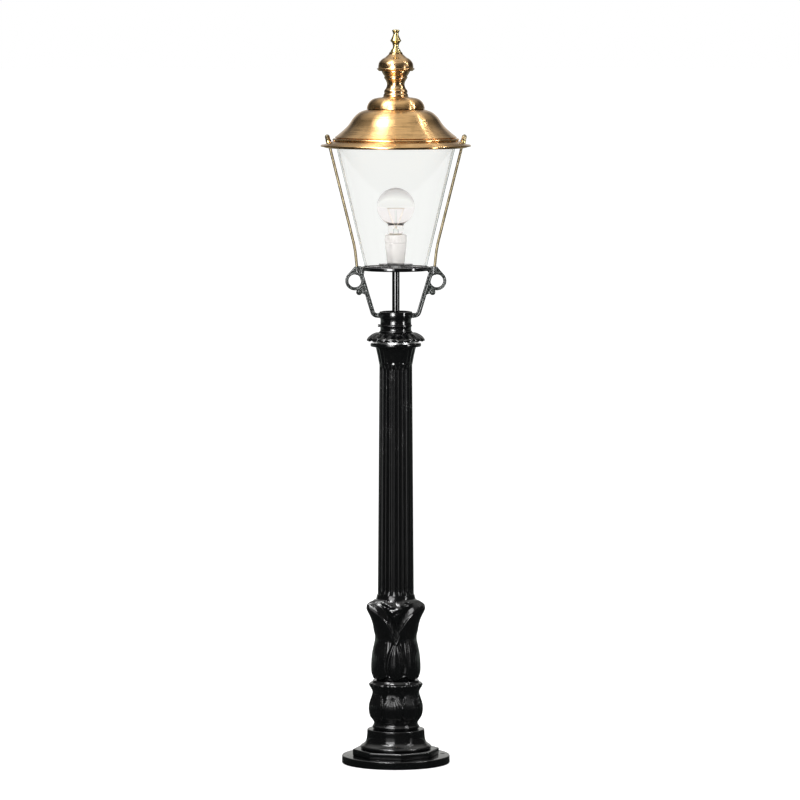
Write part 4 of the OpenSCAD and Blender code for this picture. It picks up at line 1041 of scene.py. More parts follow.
@dataclass
class Vase(Assembly):
    """Vase casting: ribbed body, teardrop leaves and three pointed petals."""

    title = "vase"
    foot_r: float = 43.4
    belly_r: float = 52.2
    waist_r: float = 43.6
    waist_step: float = 2.2
    tip_r: float = 71
    notch_r: float = 43.8
    head_r: float = 39.4
    petals: int = 3
    waist_z: float = 78
    notch_z: float = 84
    tip_z: float = 159
    tip_h: float = 3.5
    groove: float = 3.2
    leaf_half: float = 18
    spine_h: float = 0.9
    rib_h: float = 0.16
    rib_pitch: float = 7.5
    points: int = 8
    point_low: float = 2.4
    point_rise: float = 9
    undercut: float = 3.2
    collar: float = 8
    shoulder_h: float = 8.5
    hollow_h: float = 2.2
    fold_h: float = 0.7
    fold_pitch: float = 7.1
    ripple_h: float = 1.2
    ripples: int = 10
    body_share: float = 0.52
    rim_share: float = 0.78
    casting: Span = span("vase_casting")

    def __post_init__(self) -> None:
        """Draw the outline of the body below the petals, and the edge of a petal."""
        rows = [
            (-5.6, 0.055), (-2.4, 0.13), (-0.4, 0.22), (0, 0.31), (-0.1, 0.42), (-0.8, 0.58),
            (-2.2, 0.74), (-4.3, 0.88),
        ]
        self.outline = Curve(
            [(self.foot_r + 1, 0)] + profile(self.belly_r, self.waist_z, rows)
            + [(self.waist_r + self.waist_step, self.waist_z)]
        )
        n, t, low, top = self.notch_r, self.tip_r, self.notch_z, self.tip_z
        self.petal_edge = Curve([
            (n, low), (n + 1.6, low + 24), (n + 5.4, low + 42), (n + 10.8, low + 55),
            (t - 8.6, top - 10), (t, top),
        ])

    def off(self, angle: float) -> float:
        """Angle from the nearest notch, without its sign; one notch faces the camera."""
        return abs(off_axis(angle + 90, self.petals))

    def toward_tip(self, angle: float) -> float:
        """Rise from 0 at a notch to 1 at the tip of a petal."""
        return math.sin(math.radians(self.off(angle) * self.petals / 2))

    def rim(self, angle: float) -> Point:
        """Radius and height of the petals' rim."""
        return self.petal_edge.at(self.off(angle) / (180 / self.petals))

    def relief(self, angle: float, z: float) -> float:
        """Height of lobes, grooves and teardrop leaves over the body's outline.

        Args:
            angle: direction in degrees.
            z: height above the foot of the casting.

        Returns:
            Height in millimetres, outwards.
        """
        off = self.off(angle)
        up = z / self.waist_z
        taper = math.sin(math.pi * (0.2 + 0.7 * min(max(up, 0), 1))) ** 1.1
        width = self.leaf_half * taper + 1.2
        leaf = 1 - ease(width * 0.72, width, off)
        lobe = ease(width + 1, width + 8, off)
        spine = self.spine_h * hill(off, 1.5) + 0.5 * hill(off - width * 0.55, 1.4)
        ribs = self.rib_h * math.cos(math.radians(off * 360 / self.rib_pitch)) * lobe
        ribs *= ease(0.1, 0.5, up)
        body = ease(0.06, 0.2, up)
        return body * (self.groove * (lobe + 0.85 * leaf - 1) + spine * leaf + ribs)

    def skirt(self, angle: float, z: float) -> float:
        """How far the surface steps in under the pointed leaf edge at the foot."""
        phase = abs(off_axis(angle, self.points)) * 2 * self.points / 360
        edge = self.point_low + self.point_rise * phase
        step = -self.undercut * (1 - ease(edge - 1.2, edge + 0.6, z))
        return step + 0.8 * hill(z - edge - 1.4, 1.3)

    def place(self, angle: float, share: float) -> Point:
        """Radius and height of the casting: body, petals, then shoulder."""
        if share <= self.body_share:
            radius, z = self.outline.at(share / self.body_share)
            radius = radius + self.relief(angle, z) + self.skirt(angle, z)
        elif share <= self.rim_share:
            u = (share - self.body_share) / (self.rim_share - self.body_share)
            radius, z = self.petal(angle, u)
        else:
            radius, z = self.shoulder(angle, (share - self.rim_share) / (1 - self.rim_share))
        return radius, self.casting.low + z

    def petal(self, angle: float, u: float) -> Point:
        """Radius and height of the petals' face above the foot of the casting.

        Args:
            angle: direction in degrees.
            u: 0 at the waist, 1 at the rim.

        Returns:
            Radius and height.
        """
        rim_r, rim_z = self.rim(angle)
        tip = self.toward_tip(angle)
        start = self.waist_r + self.waist_step
        face = start + (rim_r - start) * min(u / 0.97, 1) ** 2.6
        bead = 1.1 * hill(u - 0.96, 0.05) * (1 - ease(0.5, 0.9, tip))
        vein = 0.9 * hill(self.off(angle) - 180 / self.petals, 1.6) * ease(0.1, 0.5, u) * (1 - u)
        waist = 1.9 * math.sin(math.pi * min(u * 2, 1)) * ease(0.1, 0.5, tip)
        lobes = self.relief(angle, self.waist_z * 0.999) * (1 - ease(0.0, 0.5, u))
        return face + bead + vein - waist + lobes, self.waist_z + (rim_z - self.waist_z) * u

    def shoulder(self, angle: float, v: float) -> Point:
        """Radius and height of the shoulder above the foot of the casting.

        Args:
            angle: direction in degrees.
            v: 0 at the petals' rim, 1 at the foot of the column.

        Returns:
            Radius and height.
        """
        rim_r, rim_z = self.rim(angle)
        tip = self.toward_tip(angle)
        head = self.casting.height - self.collar * (1 - ease(0.9, 1, v))
        radius = self.head_r + (rim_r - self.head_r) * (1 - v ** (1 + 0.4 * tip**3))
        blunt = self.tip_h * tip**3
        climb = 1 - (1 - v) ** (1 + 0.9 * tip**3)
        z = rim_z + blunt * ease(0, 0.12, v) + (head - rim_z - blunt) * climb
        panel = (1 - ease(0.25, 0.7, tip)) * ease(0.01, 0.06, v) * (1 - ease(0.46, 0.56, v))
        swell = self.shoulder_h * ease(0.3, 0.66, v) * (1 - ease(0.76, 1.0, v)) * (1 - tip**2)
        sunk = -self.hollow_h * ease(0.0, 0.05, v) * (1 - ease(0.12, 0.5, v))
        sunk = sunk * (1 - ease(0.6, 0.95, tip)) * ease(0.02, 0.2, tip)
        turn = math.radians(self.off(angle) * 360 / self.fold_pitch)
        folds = self.fold_h * math.cos(turn) * panel
        upper = ease(0.5, 0.6, v) * (1 - ease(0.86, 0.97, v))
        ripple = self.ripple_h * math.sin(math.radians(angle * self.ripples)) * math.cos(z * 0.55)
        return radius + swell + sunk + folds + ripple * upper, z

    def build(self) -> None:
        """Make and dress the pieces."""
        self.add(Form.skin(352, 190, self.place), "petal_vase", Look.CAST_BLACK, "vase_casting")


@dataclass
class Column(Assembly):
    """Fluted column."""

    title = "column"
    foot_r: float = 38.2
    head_r: float = 34.65
    flutes: int = 26
    depth: float = 2.3
    hollow_share: float = 0.76
    run_out: float = 7
    shaft: Span = span("column")

    def place(self, angle: float, share: float) -> Point:
        """Radius and height of the fluted shaft."""
        height = self.shaft.height * share
        radius = self.foot_r + (self.head_r - self.foot_r) * share
        across = abs(off_axis(angle, self.flutes)) * self.flutes / 180
        hollow = max(0.0, 1 - (across / self.hollow_share) ** 2) ** 0.55
        up, down = height - 1, self.shaft.height - 1 - height
        ends = ease(0, self.run_out, up) * ease(0, self.run_out, down)
        return radius - self.depth * hollow * ends, self.shaft.low + height

    def build(self) -> None:
        """Make and dress the pieces."""
        shaft = Form.skin(self.flutes * 14, 110, self.place)
        self.add(shaft, "fluted_column", Look.CAST_BLACK, "column")


@dataclass
class Capital(Assembly):
    """Bell and plate at the head of the column, the leaf skirt on it and the spigot."""

    title = "capital"
    neck_r: float = 35.05
    bell_r: float = 42.6
    bore_r: float = 27
    bell_h: float = 38
    petals: int = 18
    petal_reach: float = 61.3
    cleft: float = 2.8
    facets: int = 20
    facet_h: float = 0.7
    plate_edge: float = 1.8
    block: Span = span("capital")
    skirt: Span = span("leaf_skirt")
    band: Span = span("lantern_socket")

    def __post_init__(self) -> None:
        """Draw the bell."""
        self.bell_line = Curve(
            profile(self.neck_r, self.bell_h, [(0, 0), (0.5, 0.1), (1.4, 0.22)])
            + profile(self.bell_r, self.bell_h, [(-4.6, 0.45), (-2.6, 0.68), (-0.6, 0.9), (1.6, 1)])
        )

    def bell_place(self, angle: float, share: float) -> Point:
        """Radius and height of the bell, with its shallow facets."""
        radius, z = self.bell_line.at(share)
        wave = math.cos(math.radians(angle * self.facets))
        soft = ease(0.04, 0.3, share) * (1 - ease(0.72, 0.95, share))
        return radius + self.facet_h * (wave - 1) * soft, self.block.low + z

    def bell_and_plate(self) -> Form:
        """Bell with the round plate on it."""
        low, top, r = self.block.low + self.bell_h, self.block.high, self.block.reach
        edge = self.plate_edge
        outline = [(self.bore_r, low - 1), (self.bell_r, low - 1), (self.bell_r + 1, low)]
        outline += [(r - edge, low)] + arc((r - edge, low + edge), edge, -90, 0, 5)
        outline += arc((r - edge, top - edge), edge, 0, 90, 5) + [(self.bore_r, top)]
        bell = Form.skin(240, 48, self.bell_place)
        return bell.united(Form.turned(outline, 200, closed=True))

    def petal_place(self, angle: float, share: float) -> Point:
        """Radius and height round the section of the leaf skirt."""
        phase = off_axis(angle, self.petals) * self.petals / 180
        off = abs(phase)
        rise = self.skirt.height
        reach = self.petal_reach - self.cleft * off**2.6
        low = 3.0 * off**2.2
        crown = 1.7 * (1 - off * off) + 0.9 * phase * (1 - ease(0.86, 1.0, off))
        lift = crown + 0.7 * hill(off - 0.86, 0.09) + 0.35 * hill(phase, 0.07)
        inner = self.band.reach + 1.5
        out = reach - inner
        section = Curve([
            (inner - 6, 0.4), (inner - 6, rise * 0.35), (inner - 5.4, rise - 6.4),
            (inner - 1, rise - 4.6), (inner, rise - 2.2), (inner + 1.6, rise - 0.8),
            (inner + 4.6, rise - 1.4 + lift * 0.25), (inner + 0.3 * out, rise - 3 + lift * 0.8),
            (inner + 0.55 * out, rise - 6.4 + lift), (inner + 0.78 * out, rise - 10.6 + lift),
            (reach - 1.6, 5.4 + low + lift * 0.5), (reach - 0.1, 2.6 + low),
            (reach - 0.9, 0.7 + low), (reach - 2.6, 0.5 + low), (reach - 6, 2.4 + low),
            (inner + 2, 0.8),
        ])
        radius, z = section.at(share)
        return radius, self.skirt.low + max(z, 0.05)

    def build(self) -> None:
        """Make and dress the pieces."""
        self.add(self.bell_and_plate(), "bell_capital", Look.CAST_BLACK, "capital")
        leaves = Form.skin(self.petals * 20, 84, self.petal_place, looped=True)
        self.add(leaves, "leaf_skirt_ring", Look.CAST_BLACK, "leaf_skirt")
        self.dress(Look.ZINC, "spigot")


@dataclass
class Socket(Assembly):
    """Socket of the lantern on its spigot, with rings, band and screws."""

    title = "socket"
    body = "head"
    neck_d: float = 65.2
    ring_d: float = 69
    bore_r: float = 30.08
    bore_h: float = 25
    web_h: float = 6
    wall: float = 5
    web_bore_r: float = 8.1
    ring_heights: tuple[float, float] = (3.2, 15.6)
    ring_half: float = 2.7
    ring_foot: float = 0.6
    ring_curve: float = 2.1
    screws: int = 3
    screw_r: float = 2.9
    screw_edge: float = 0.8
    screw_reach: float = 37.8
    screw_up: float = 15.6
    screw_turn: float = 60
    slot_half: float = 0.45
    slot_h: float = 1.2
    casting: Span = span("lantern_socket")

    def turned_socket(self) -> Form:
        """Bore below, two rings round it, and the open cup with its band."""
        low, top = self.casting.low, self.casting.high
        neck, ring, band = self.neck_d / 2, self.ring_d / 2, self.casting.reach
        cup = low + self.bore_h + self.web_h
        outline = [(self.bore_r, low), (neck, low)]
        for height in self.ring_heights:
            middle = low + height
            outline += [(neck, middle - self.ring_half - self.ring_foot)]
            outline += arc((ring - self.ring_curve, middle), self.ring_curve, -75, 75, 8)
            outline += [(neck, middle + self.ring_half + self.ring_foot)]
        outline += [
            (neck - 0.3, cup - 4), (neck, cup - 1.2), (band - 1.2, cup), (band - 0.4, cup + 0.5),
            (band - 0.05, cup + 1.8), (band, top - 2), (band - 0.5, top - 0.6), (band - 1.6, top),
            (band - self.wall, top), (band - self.wall, cup), (self.web_bore_r, cup),
            (self.web_bore_r, cup - self.web_h), (self.bore_r, cup - self.web_h),
        ]
        return Form.turned(outline, 200, closed=True)

    def clamping_screws(self) -> Form:
        """Slotted screws through the wall of the socket."""
        r, out, tip, edge = self.screw_r, self.screw_reach, self.bore_r - 0.3, self.screw_edge
        outline = [(0, tip), (r - 0.7, tip), (r, self.bore_r + 0.5)]
        outline += arc((r - edge, out - edge), edge, 0, 90, 4) + [(0, out)]
        half = self.slot_half
        slot = Form.block((-half, -r - 1, out - self.slot_h), (half, r + 1, out + 1))
        screw = Form.turned(outline, 40).drilled(slot).turn(90, "Y")
        screw.shift(0, 0, self.casting.low + self.screw_up)
        return screw.around(self.screws, self.screw_turn)

    def build(self) -> None:
        """Make and dress the pieces."""
        self.add(self.turned_socket(), "ringed_socket", Look.CAST_BLACK, "lantern_socket")
        self.add(self.clamping_screws(), "clamping_screws", Look.BLACK_STEEL, "set_screws")
        self.dress(Look.ZINC, "bracket_screws", "tube_nuts")


@dataclass
class Brackets(Assembly):
    """Two cast brackets, each with its bar, ear ring, sunken panel, boss and bud."""

    title = "brackets"
    body = "head"
    bar_w: float = 9.6
    bar_rise: float = 0.3
    bar_top_r: float = 75.2
    thick: float = 10
    bend_r: float = 10
    ear_r: float = 86.2
    ear_drop: float = 30
    hole_r: float = 13
    ear_wall: float = 7.2
    panel_touch: float = 47
    edge_touch: float = 40
    bud_r: float = 6.2
    boss_r: float = 6.5
    boss_h: float = 15
    stay_low_r: float = 81.8
    stay_lean: float = 5.99
    foot_r: float = 34.9
    foot_w: float = 4
    top_gap: float = 0.02
    voxel: float = 0.55
    node: Span = span("bracket_right")
    plate: Span = span("seat_plate")
    cup: Span = span("lantern_socket")

    def __post_init__(self) -> None:
        """Work out heights from the frame."""
        self.top_z = self.node.high - self.top_gap
        self.ear_z = self.plate.high - self.ear_drop
        self.bar_z = self.cup.high - 8.4
        self.outer_r = self.hole_r + self.ear_wall
        self.angle = math.degrees(math.atan(self.bar_rise))
        self.bar_foot_r = self.bar_top_r - self.bar_rise * (self.plate.low - self.bar_z)

    def bar(self) -> Form:
        """Grooved bar: level out of the socket, round the bend, up to the seat plate."""
        tangent = self.bend_r * math.tan(math.radians((90 - self.angle) / 2))
        centre = (self.bar_foot_r - tangent, self.bar_z + self.bend_r)
        bend = arc(centre, self.bend_r, -90, -self.angle, 14)
        start, end = bend[-1], (self.bar_top_r, self.plate.low)
        steps = 12
        route = [(self.foot_r - 1, self.bar_z)] + bend
        route += [
            (start[0] + (end[0] - start[0]) * i / steps, start[1] + (end[1] - start[1]) * i / steps)
            for i in range(1, steps + 1)
        ]
        w, t, lip, groove = self.bar_w / 2, self.thick / 2, 2.1, 2.4
        side = [
            (-w, -t + 1.2), (-w + 0.8, -t + 0.2), (-w + lip, -t), (-w + lip + 0.9, -t + groove),
            (w - lip - 0.9, -t + groove), (w - lip, -t), (w - 0.8, -t + 0.2), (w, -t + 1.2),
        ]
        section = side + [(s, -u) for s, u in reversed(side)]
        return Form.swept([Vector((x, 0, z)) for x, z in route], lambda share: section)

    def ear(self) -> Form:
        """Ring with rolled edges, standing in the plane of the bracket."""
        t, inner, outer = self.thick / 2, self.hole_r, self.outer_r
        half = [
            (inner + 0.3, t - 2.4), (inner + 1.2, t - 0.6), (inner + 2.4, t),
            (inner + 3.3, t - 1.1), (outer - 3.0, t - 1.1), (outer - 2.2, t - 0.1),
            (outer - 0.9, t - 0.5), (outer, t - 2.2),
        ]
        outline = half + [(r, -z) for r, z in reversed(half)]
        ring = Form.turned(outline, 120, closed=True).turn(90, "X")
        return ring.shift(self.ear_r, 0, self.ear_z)

    def panel(self) -> Form:
        """Sunken panel between the bar, the ear ring and the boss."""
        bud_x, bud_z = self.bud_centre()
        touch = math.radians(self.panel_touch)
        out = self.ear_r + self.outer_r * math.cos(touch)
        up = self.ear_z + self.outer_r * math.sin(touch)
        edge = [
            (self.plate.reach - 1, self.top_z - 3), (self.stay_low_r, self.top_z - 3),
            (out - 3, up - 2), (self.ear_r, self.ear_z), (bud_x + 1, bud_z),
            (self.bar_at(bud_z), bud_z - self.bud_r), (self.bar_top_r - 4, self.plate.low),
        ]
        panel = Form.plate(edge, self.thick - 5.4)
        hole = Form.cylinder(self.hole_r + 1.5, -self.thick, self.thick, 96).turn(90, "X")
        return panel.drilled(hole.shift(self.ear_r, 0, self.ear_z))

    def frame_edge(self) -> Form:
        """Raised edge from the boss down to the ear ring."""
        t, reach = self.thick / 2, self.outer_r - 1.8
        touch = math.radians(self.edge_touch)
        out, up = reach * math.cos(touch), reach * math.sin(touch)
        start = Vector((self.stay_low_r + self.boss_r - 2.6, 0, self.top_z - 2.4))
        end = Vector((self.ear_r + out, 0, self.ear_z + up))
        box = [(-1.8, -t + 0.8), (-1.2, -t + 0.1), (1.2, -t + 0.1), (1.8, -t + 0.8)]
        box += [(s, -u) for s, u in reversed(box)]
        return Form.swept([start, (start + end) / 2, end], lambda share: box)

    def bar_at(self, z: float) -> float:
        """Distance of the bar's centre line from the axis at a height."""
        return self.bar_top_r - self.bar_rise * (self.plate.low - z)

    def bud_centre(self) -> Point:
        """Place of the bud in the plane of the bracket."""
        return self.ear_r - 0.44 * self.outer_r, self.ear_z - self.outer_r - self.bud_r + 2.2

    def boss(self) -> Form:
        """Boss that takes the foot of the stay, with a flat top."""
        block = Form.cylinder(self.boss_r - 0.1, -self.boss_h, 0.4, 48).moved(
            lean(self.stay_lean, Vector((self.stay_low_r, 0, self.plate.high)))
        )
        low, inside, out = self.plate.low, self.plate.reach + 0.1, self.stay_low_r
        shoulder = Form.plate([
            (inside, low - 6), (inside, self.top_z), (out + 1, self.top_z), (out + 2, low - 10),
        ], self.thick - 0.4)
        seat = Form.plate([
            (self.bar_top_r - 9, low), (out, low), (out, low - 7), (self.bar_top_r - 6, low - 7),
        ], self.thick - 0.2)
        return block.join(shoulder, seat)

    def foot(self) -> Form:
        """Foot against the band of the socket."""
        half = self.bar_w / 2 + 0.8
        return Form.block(
            (self.foot_r, -half, self.bar_z - half + 0.4),
            (self.foot_r + self.foot_w, half, self.bar_z + half - 0.4),
        )

    def casting(self) -> Form:
        """All parts of a bracket fused into one casting with soft corners."""
        bud_x, bud_z = self.bud_centre()
        whole = self.bar().join(
            self.ear(), self.panel(), self.frame_edge(), self.boss(), self.foot(),
            Form.ball(self.bud_r, (bud_x, 0, bud_z), 40),
        )
        whole.baked(
            ("REMESH", {"mode": "VOXEL", "voxel_size": self.voxel * MM, "use_smooth_shade": True}),
            ("SMOOTH", {"factor": 0.5, "iterations": 2}),
        )
        seat = Form.cylinder(self.plate.reach + 0.1, self.plate.low, self.plate.high + 4, 160)
        return whole.drilled(seat)

    def build(self) -> None:
        """Make and dress the pieces."""
        right = self.casting()
        self.add(right.mirrored(), "cast_bracket_left", Look.ROUGH_BLACK, "bracket_left")
        self.add(right, "cast_bracket_right", Look.ROUGH_BLACK, "bracket_right")


@dataclass
class Seat(Assembly):
    """Centre tube, tray under the glass, gaskets and the glass itself."""

    title = "seat"
    body = "head"
    tray_t: float = 4
    rim_w: float = 3.6
    bore_r: float = 5.1
    glass_low_r: float = 65
    glass_top_r: float = 127.5
    glass_t: float = 3.5
    tube_bore_r: float = 5.1
    edge_r: float = 1.6
    plate: Span = span("seat_plate")
    tube: Span = span("centre_tube")
    glass: Span = span("glass_cone")

    def tray(self) -> Form:
        """Round tray with rolled edges."""
        low, top, r, edge = self.plate.low, self.plate.high, self.plate.reach, self.edge_r
        inner, floor = r - self.rim_w, low + self.tray_t
        outline = [(self.bore_r, low), (r - 6, low), (r - 4.6, low)]
        outline += arc((r - edge, low + edge), edge, -90, 0, 5)
        outline += arc((r - edge, top - edge), edge, 0, 90, 5)
        outline += [(inner + 0.6, top), (inner, top - 0.6), (inner, floor), (self.bore_r, floor)]
        return Form.turned(outline, 220, closed=True)

    def stem(self) -> Form:
        """Tube from the socket up to the tray, with a softened foot."""
        low, top, r, bore = self.tube.low, self.tube.high - 0.01, self.tube.reach, self.tube_bore_r
        outline = [(bore, low), (r - 0.8, low), (r, low + 0.8), (r, top), (bore, top)]
        return Form.turned(outline, 96, closed=True)

    def cone(self) -> Form:
        """Plain conical glass with ground and slightly rounded ends."""
        low, top, foot, mouth = self.glass.low, self.glass.high, self.glass_low_r, self.glass_top_r
        slope = (mouth - foot) / (top - low)
        wall = self.glass_t * math.sqrt(1 + slope * slope)
        edge = 0.5
        outline = [
            (foot - wall + edge, low), (foot - edge, low), (foot + slope * edge, low + edge),
            (mouth - slope * edge, top - edge), (mouth - edge, top), (mouth - wall + edge, top),
            (mouth - wall - slope * edge, top - edge), (foot - wall + slope * edge, low + edge),
        ]
        return Form.turned(outline, 256, closed=True)

    def build(self) -> None:
        """Make and dress the pieces."""
        self.add(self.tray(), "glass_tray", Look.BLACK_STEEL, "seat_plate")
        self.add(self.stem(), "wire_tube", Look.BLACK_STEEL, "centre_tube")
        self.add(self.cone(), "lantern_glass_cone", Look.LANTERN_GLASS, "glass_cone")
        self.dress(Look.BLACK_STEEL, "holder_disc")
        self.dress(Look.ZINC, "seat_screws", "nipple", "disc_nut")
        self.dress(Look.GREY_RUBBER, "lower_gasket", "upper_gasket")


@dataclass
class LampHolder(Assembly):
    """Porcelain lamp holder with its screw ring and brass parts."""

    title = "lamp holder"
    body = "head"
    low_r: float = 19
    top_r: float = 22.5
    hollow_r: float = 14.4
    hollow_at: float = 8
    bore_r: float = 5.1
    mouth_r: float = 17.3
    grips: int = 24
    grip_h: float = 0.55
    foot_edge: float = 3
    holder: Span = span("lamp_holder")
    ring: Span = span("holder_ring")

    def porcelain(self) -> Form:
        """Body with a rounded foot and a swelling head."""
        low, h, edge = self.holder.low, self.holder.height, self.foot_edge
        outline = [(self.bore_r, low), (self.low_r - edge, low)]
        outline += arc((self.low_r - edge, low + edge), edge, -90, 0, 6)
        outline += Curve([
            (self.low_r, low + 3.2), (self.low_r + 0.9, low + h * 0.3),
            (self.top_r - 1, low + h * 0.6), (self.top_r - 0.1, low + h * 0.8),
            (self.top_r, low + h - 1.4),
        ]).line(6)
        outline += arc((self.top_r - 1, low + h - 1), 1, 0, 90, 4)
        hollow = low + self.hollow_at
        outline += [(self.hollow_r, low + h), (self.hollow_r, hollow), (self.bore_r, hollow)]
        return Form.turned(outline, 128, closed=True)

    def ring_place(self, angle: float, share: float) -> Point:
        """Radius and height round the section of the ring, with shallow grips outside."""
        low, h, r = self.ring.low, self.ring.height, self.ring.reach
        section = Curve([
            (self.hollow_r, 0.2), (r - 4, 0.1), (r - 0.7, 0.4), (r, 1.6), (r, h * 0.5),
            (r - 0.1, h - 3.4), (r - 0.9, h - 1), (r - 2.6, h - 0.1),
            (self.mouth_r + 0.8, h - 0.1), (self.mouth_r, h - 1),
            (self.hollow_r + 0.4, h - 2.4), (self.hollow_r, h * 0.5),
        ])
        radius, z = section.at(share)
        side = ease(r - 1.4, r - 0.4, radius) * ease(2, 4, z) * (1 - ease(h - 5, h - 3, z))
        grip = 0.5 * math.cos(math.radians(angle * self.grips)) - 0.5
        return min(radius, r) + self.grip_h * grip * side, low + min(max(z, 0), h)

    def build(self) -> None:
        """Make and dress the pieces."""
        self.add(self.porcelain(), "porcelain_body", Look.PORCELAIN, "lamp_holder")
        ring = Form.skin(self.grips * 8, 72, self.ring_place, looped=True)
        self.add(ring, "porcelain_ring", Look.PORCELAIN, "holder_ring")
        self.dress(Look.BRASS, "holder_sleeve", "holder_contact", "holder_terminals")


@dataclass
class Lamp(Assembly):
    """Globe lamp: glass, threaded cap, contact, stem and filament."""

    title = "lamp"
    body = "lamp"
    globe_r: float = 40
    neck_r: float = 16.5
    wall: float = 0.8
    thread_pitch: float = 3.6
    thread_depth: float = 1.1
    threads: int = 5
    lead_r: float = 0.5
    lead_aside: float = 2.2
    spread: float = 11.6
    wire_r: float = 0.22
    coil_r: float = 0.55
    coil_turns: int = 56
    support_r: float = 0.24
    supports: int = 4
    cap: Span = span("lamp_cap")
    glass: Span = span("globe")

    def globe(self) -> Form:
        """Thin globe with its neck, open where the stem enters."""
        centre = self.glass.high - self.globe_r
        mouth = self.cap.high - 0.6
        sides = []
        for inside in (0.0, self.wall):
            r, n = self.globe_r - inside, self.neck_r - inside
            neck = Curve([
                (n * 0.86, mouth), (n, mouth + 3), (n + 0.5, centre - self.globe_r * 0.93),
                (0.66 * r, centre - 0.7513 * r),
            ]).line(8)
            sides.append(neck + arc((0, centre), r, -45, 90, 40))
        return Form.turned(sides[0] + sides[1][::-1], 128)

    def screw_cap(self) -> Form:
        """Cap with its rolled thread."""
        low, h, r, turns = self.cap.low, self.cap.height, self.cap.reach, self.threads
        steps = 12 * turns
        outline = [(r - 6, low), (r - 2.4, low + 0.9)]
        for i in range(steps + 1):
            sunk = self.thread_depth * (0.5 + 0.5 * math.cos(2 * math.pi * i / 12))
            outline.append((r - 0.1 - sunk, low + 2 + self.thread_pitch * turns * i / steps))
        outline += [(r - 0.8, low + h - 3.6), (r - 0.1, low + h - 1.6), (r - 0.1, low + h)]
        outline += [(r - 1.2, low + h), (r - 2, low + 3), (r - 6, low + 3)]
        return Form.turned(outline, 96, closed=True)

    def lead(self, side: int, low: float, top: float) -> Form:
        """One of the two leads that cross on their way up to the ring of wire.

        Args:
            side: -1 for the left one, 1 for the right one.
            low: height of its foot.
            top: height of its head.

        Returns:
            The lead.
        """
        route = Curve([(0.0, 0.0), (0.15, 0.04), (0.5, 0.5), (0.9, 0.93), (1.0, 1.0)]).line(6)
        across = self.spread + 3
        aside, rise = side * self.lead_aside, top - low
        points = [
            Vector((side * (across * s - 3), aside * (1 - s), low + rise * t)) for s, t in route
        ]
        rod = circle(self.lead_r, 10)
        return Form.swept(points, lambda share: rod)

    def filament(self) -> Form:
        """Two crossing leads, the ring of coiled wire and its supports."""
        low = self.cap.high + 8
        top = self.glass.high - self.globe_r * 1.06
        whole = Form().join(self.lead(-1, low, top), self.lead(1, low, top))
        wire = circle(self.wire_r, 6)
        count = self.coil_turns * 10
        points = []
        for i in range(count):
            around = 2 * math.pi * i / count
            twist = around * self.coil_turns
            radius = self.spread + (self.coil_r - self.wire_r) * math.cos(twist)
            rise = (self.coil_r - self.wire_r) * math.sin(twist)
            across, along = radius * math.cos(around), radius * math.sin(around)
            points.append(Vector((across, along, top + rise)))
        whole.join(Form.swept(points, lambda share: wire, closed=True))
        arm = Form.cylinder(self.support_r, 1.5, self.spread - 0.3, 8).turn(90, "Y")
        return whole.join(arm.shift(0, 0, top).around(self.supports, 45))

    def build(self) -> None:
        """Make and dress the pieces."""
        self.add(self.globe(), "lamp_globe", Look.LAMP_GLASS, "globe")
        self.add(self.screw_cap(), "threaded_cap", Look.NICKEL, "lamp_cap")
        self.add(self.filament(), "filament_ring", Look.FILAMENT, "lamp_filament")
        self.dress(Look.NICKEL, "lamp_contact")
        self.dress(Look.STEM_GLASS, "lamp_stem")


@dataclass(frozen=True)
class NutSeat:
    """Seat of a dome nut on the brim, which the stays, the nuts and the roof share."""

    out: float = 141.8
    lean: float = 13.964
    flange_r: float = 6
    nut: Span = span("dome_nut_right")

    def height(self) -> float:
        """Height of its middle, on the centre line of the stay."""
        return self.nut.low + self.flange_r * math.sin(math.radians(self.lean))

    def leaning(self) -> Matrix:
        """Carries an upright piece onto the seat of the right stay."""
        return lean(self.lean, Vector((self.out, 0, self.height())))


@dataclass
class Stays(Assembly):
    """Two brass stays from the brackets up to the brim."""

    title = "stays"
    body = "head"
    radius: float = 3
    low_r: float = Brackets.stay_low_r
    bend_at_r: float = 86
    bend_up: float = 40
    sunk: float = 11.5
    softness: float = 16
    chamfer: float = 0.8
    tip_share: float = 0.75
    node: Span = span("stay_right")
    plate: Span = span("seat_plate")
    seat: NutSeat = NutSeat()

    def route(self) -> list[Vector]:
        """Centre line: out of the boss, round a soft bend, straight up to the nut."""
        foot = Vector((self.low_r, 0, self.plate.high))
        knee = Vector((self.bend_at_r, 0, self.plate.high + self.bend_up))
        angle = math.atan2(self.seat.out - self.bend_at_r, self.seat.height() - knee.z)
        ahead = Vector((math.sin(angle), 0, math.cos(angle)))
        tip_z = self.node.high - self.radius * math.sin(angle)
        tip = knee + ahead * ((tip_z - knee.z) / ahead.z)
        down = (foot - knee).normalized()
        start, end = knee + down * self.softness, knee + ahead * self.softness
        bend = [start.lerp(knee, t / 8).lerp(knee.lerp(end, t / 8), t / 8) for t in range(9)]
        return [foot + down * self.sunk] + bend + [tip - ahead * self.chamfer, tip]

    def stay(self) -> Form:
        """Round rod with a chamfered tip."""
        full = circle(self.radius, 32)
        tip = [(self.tip_share * s, self.tip_share * u) for s, u in full]
        return Form.swept(self.route(), lambda share: full if share < 1 else tip)

    def build(self) -> None:
        """Make and dress the pieces."""
        right = self.stay()
        self.add(right.mirrored(), "brass_stay_left", Look.DULL_BRASS, "stay_left")
        self.add(right, "brass_stay_right", Look.DULL_BRASS, "stay_right")


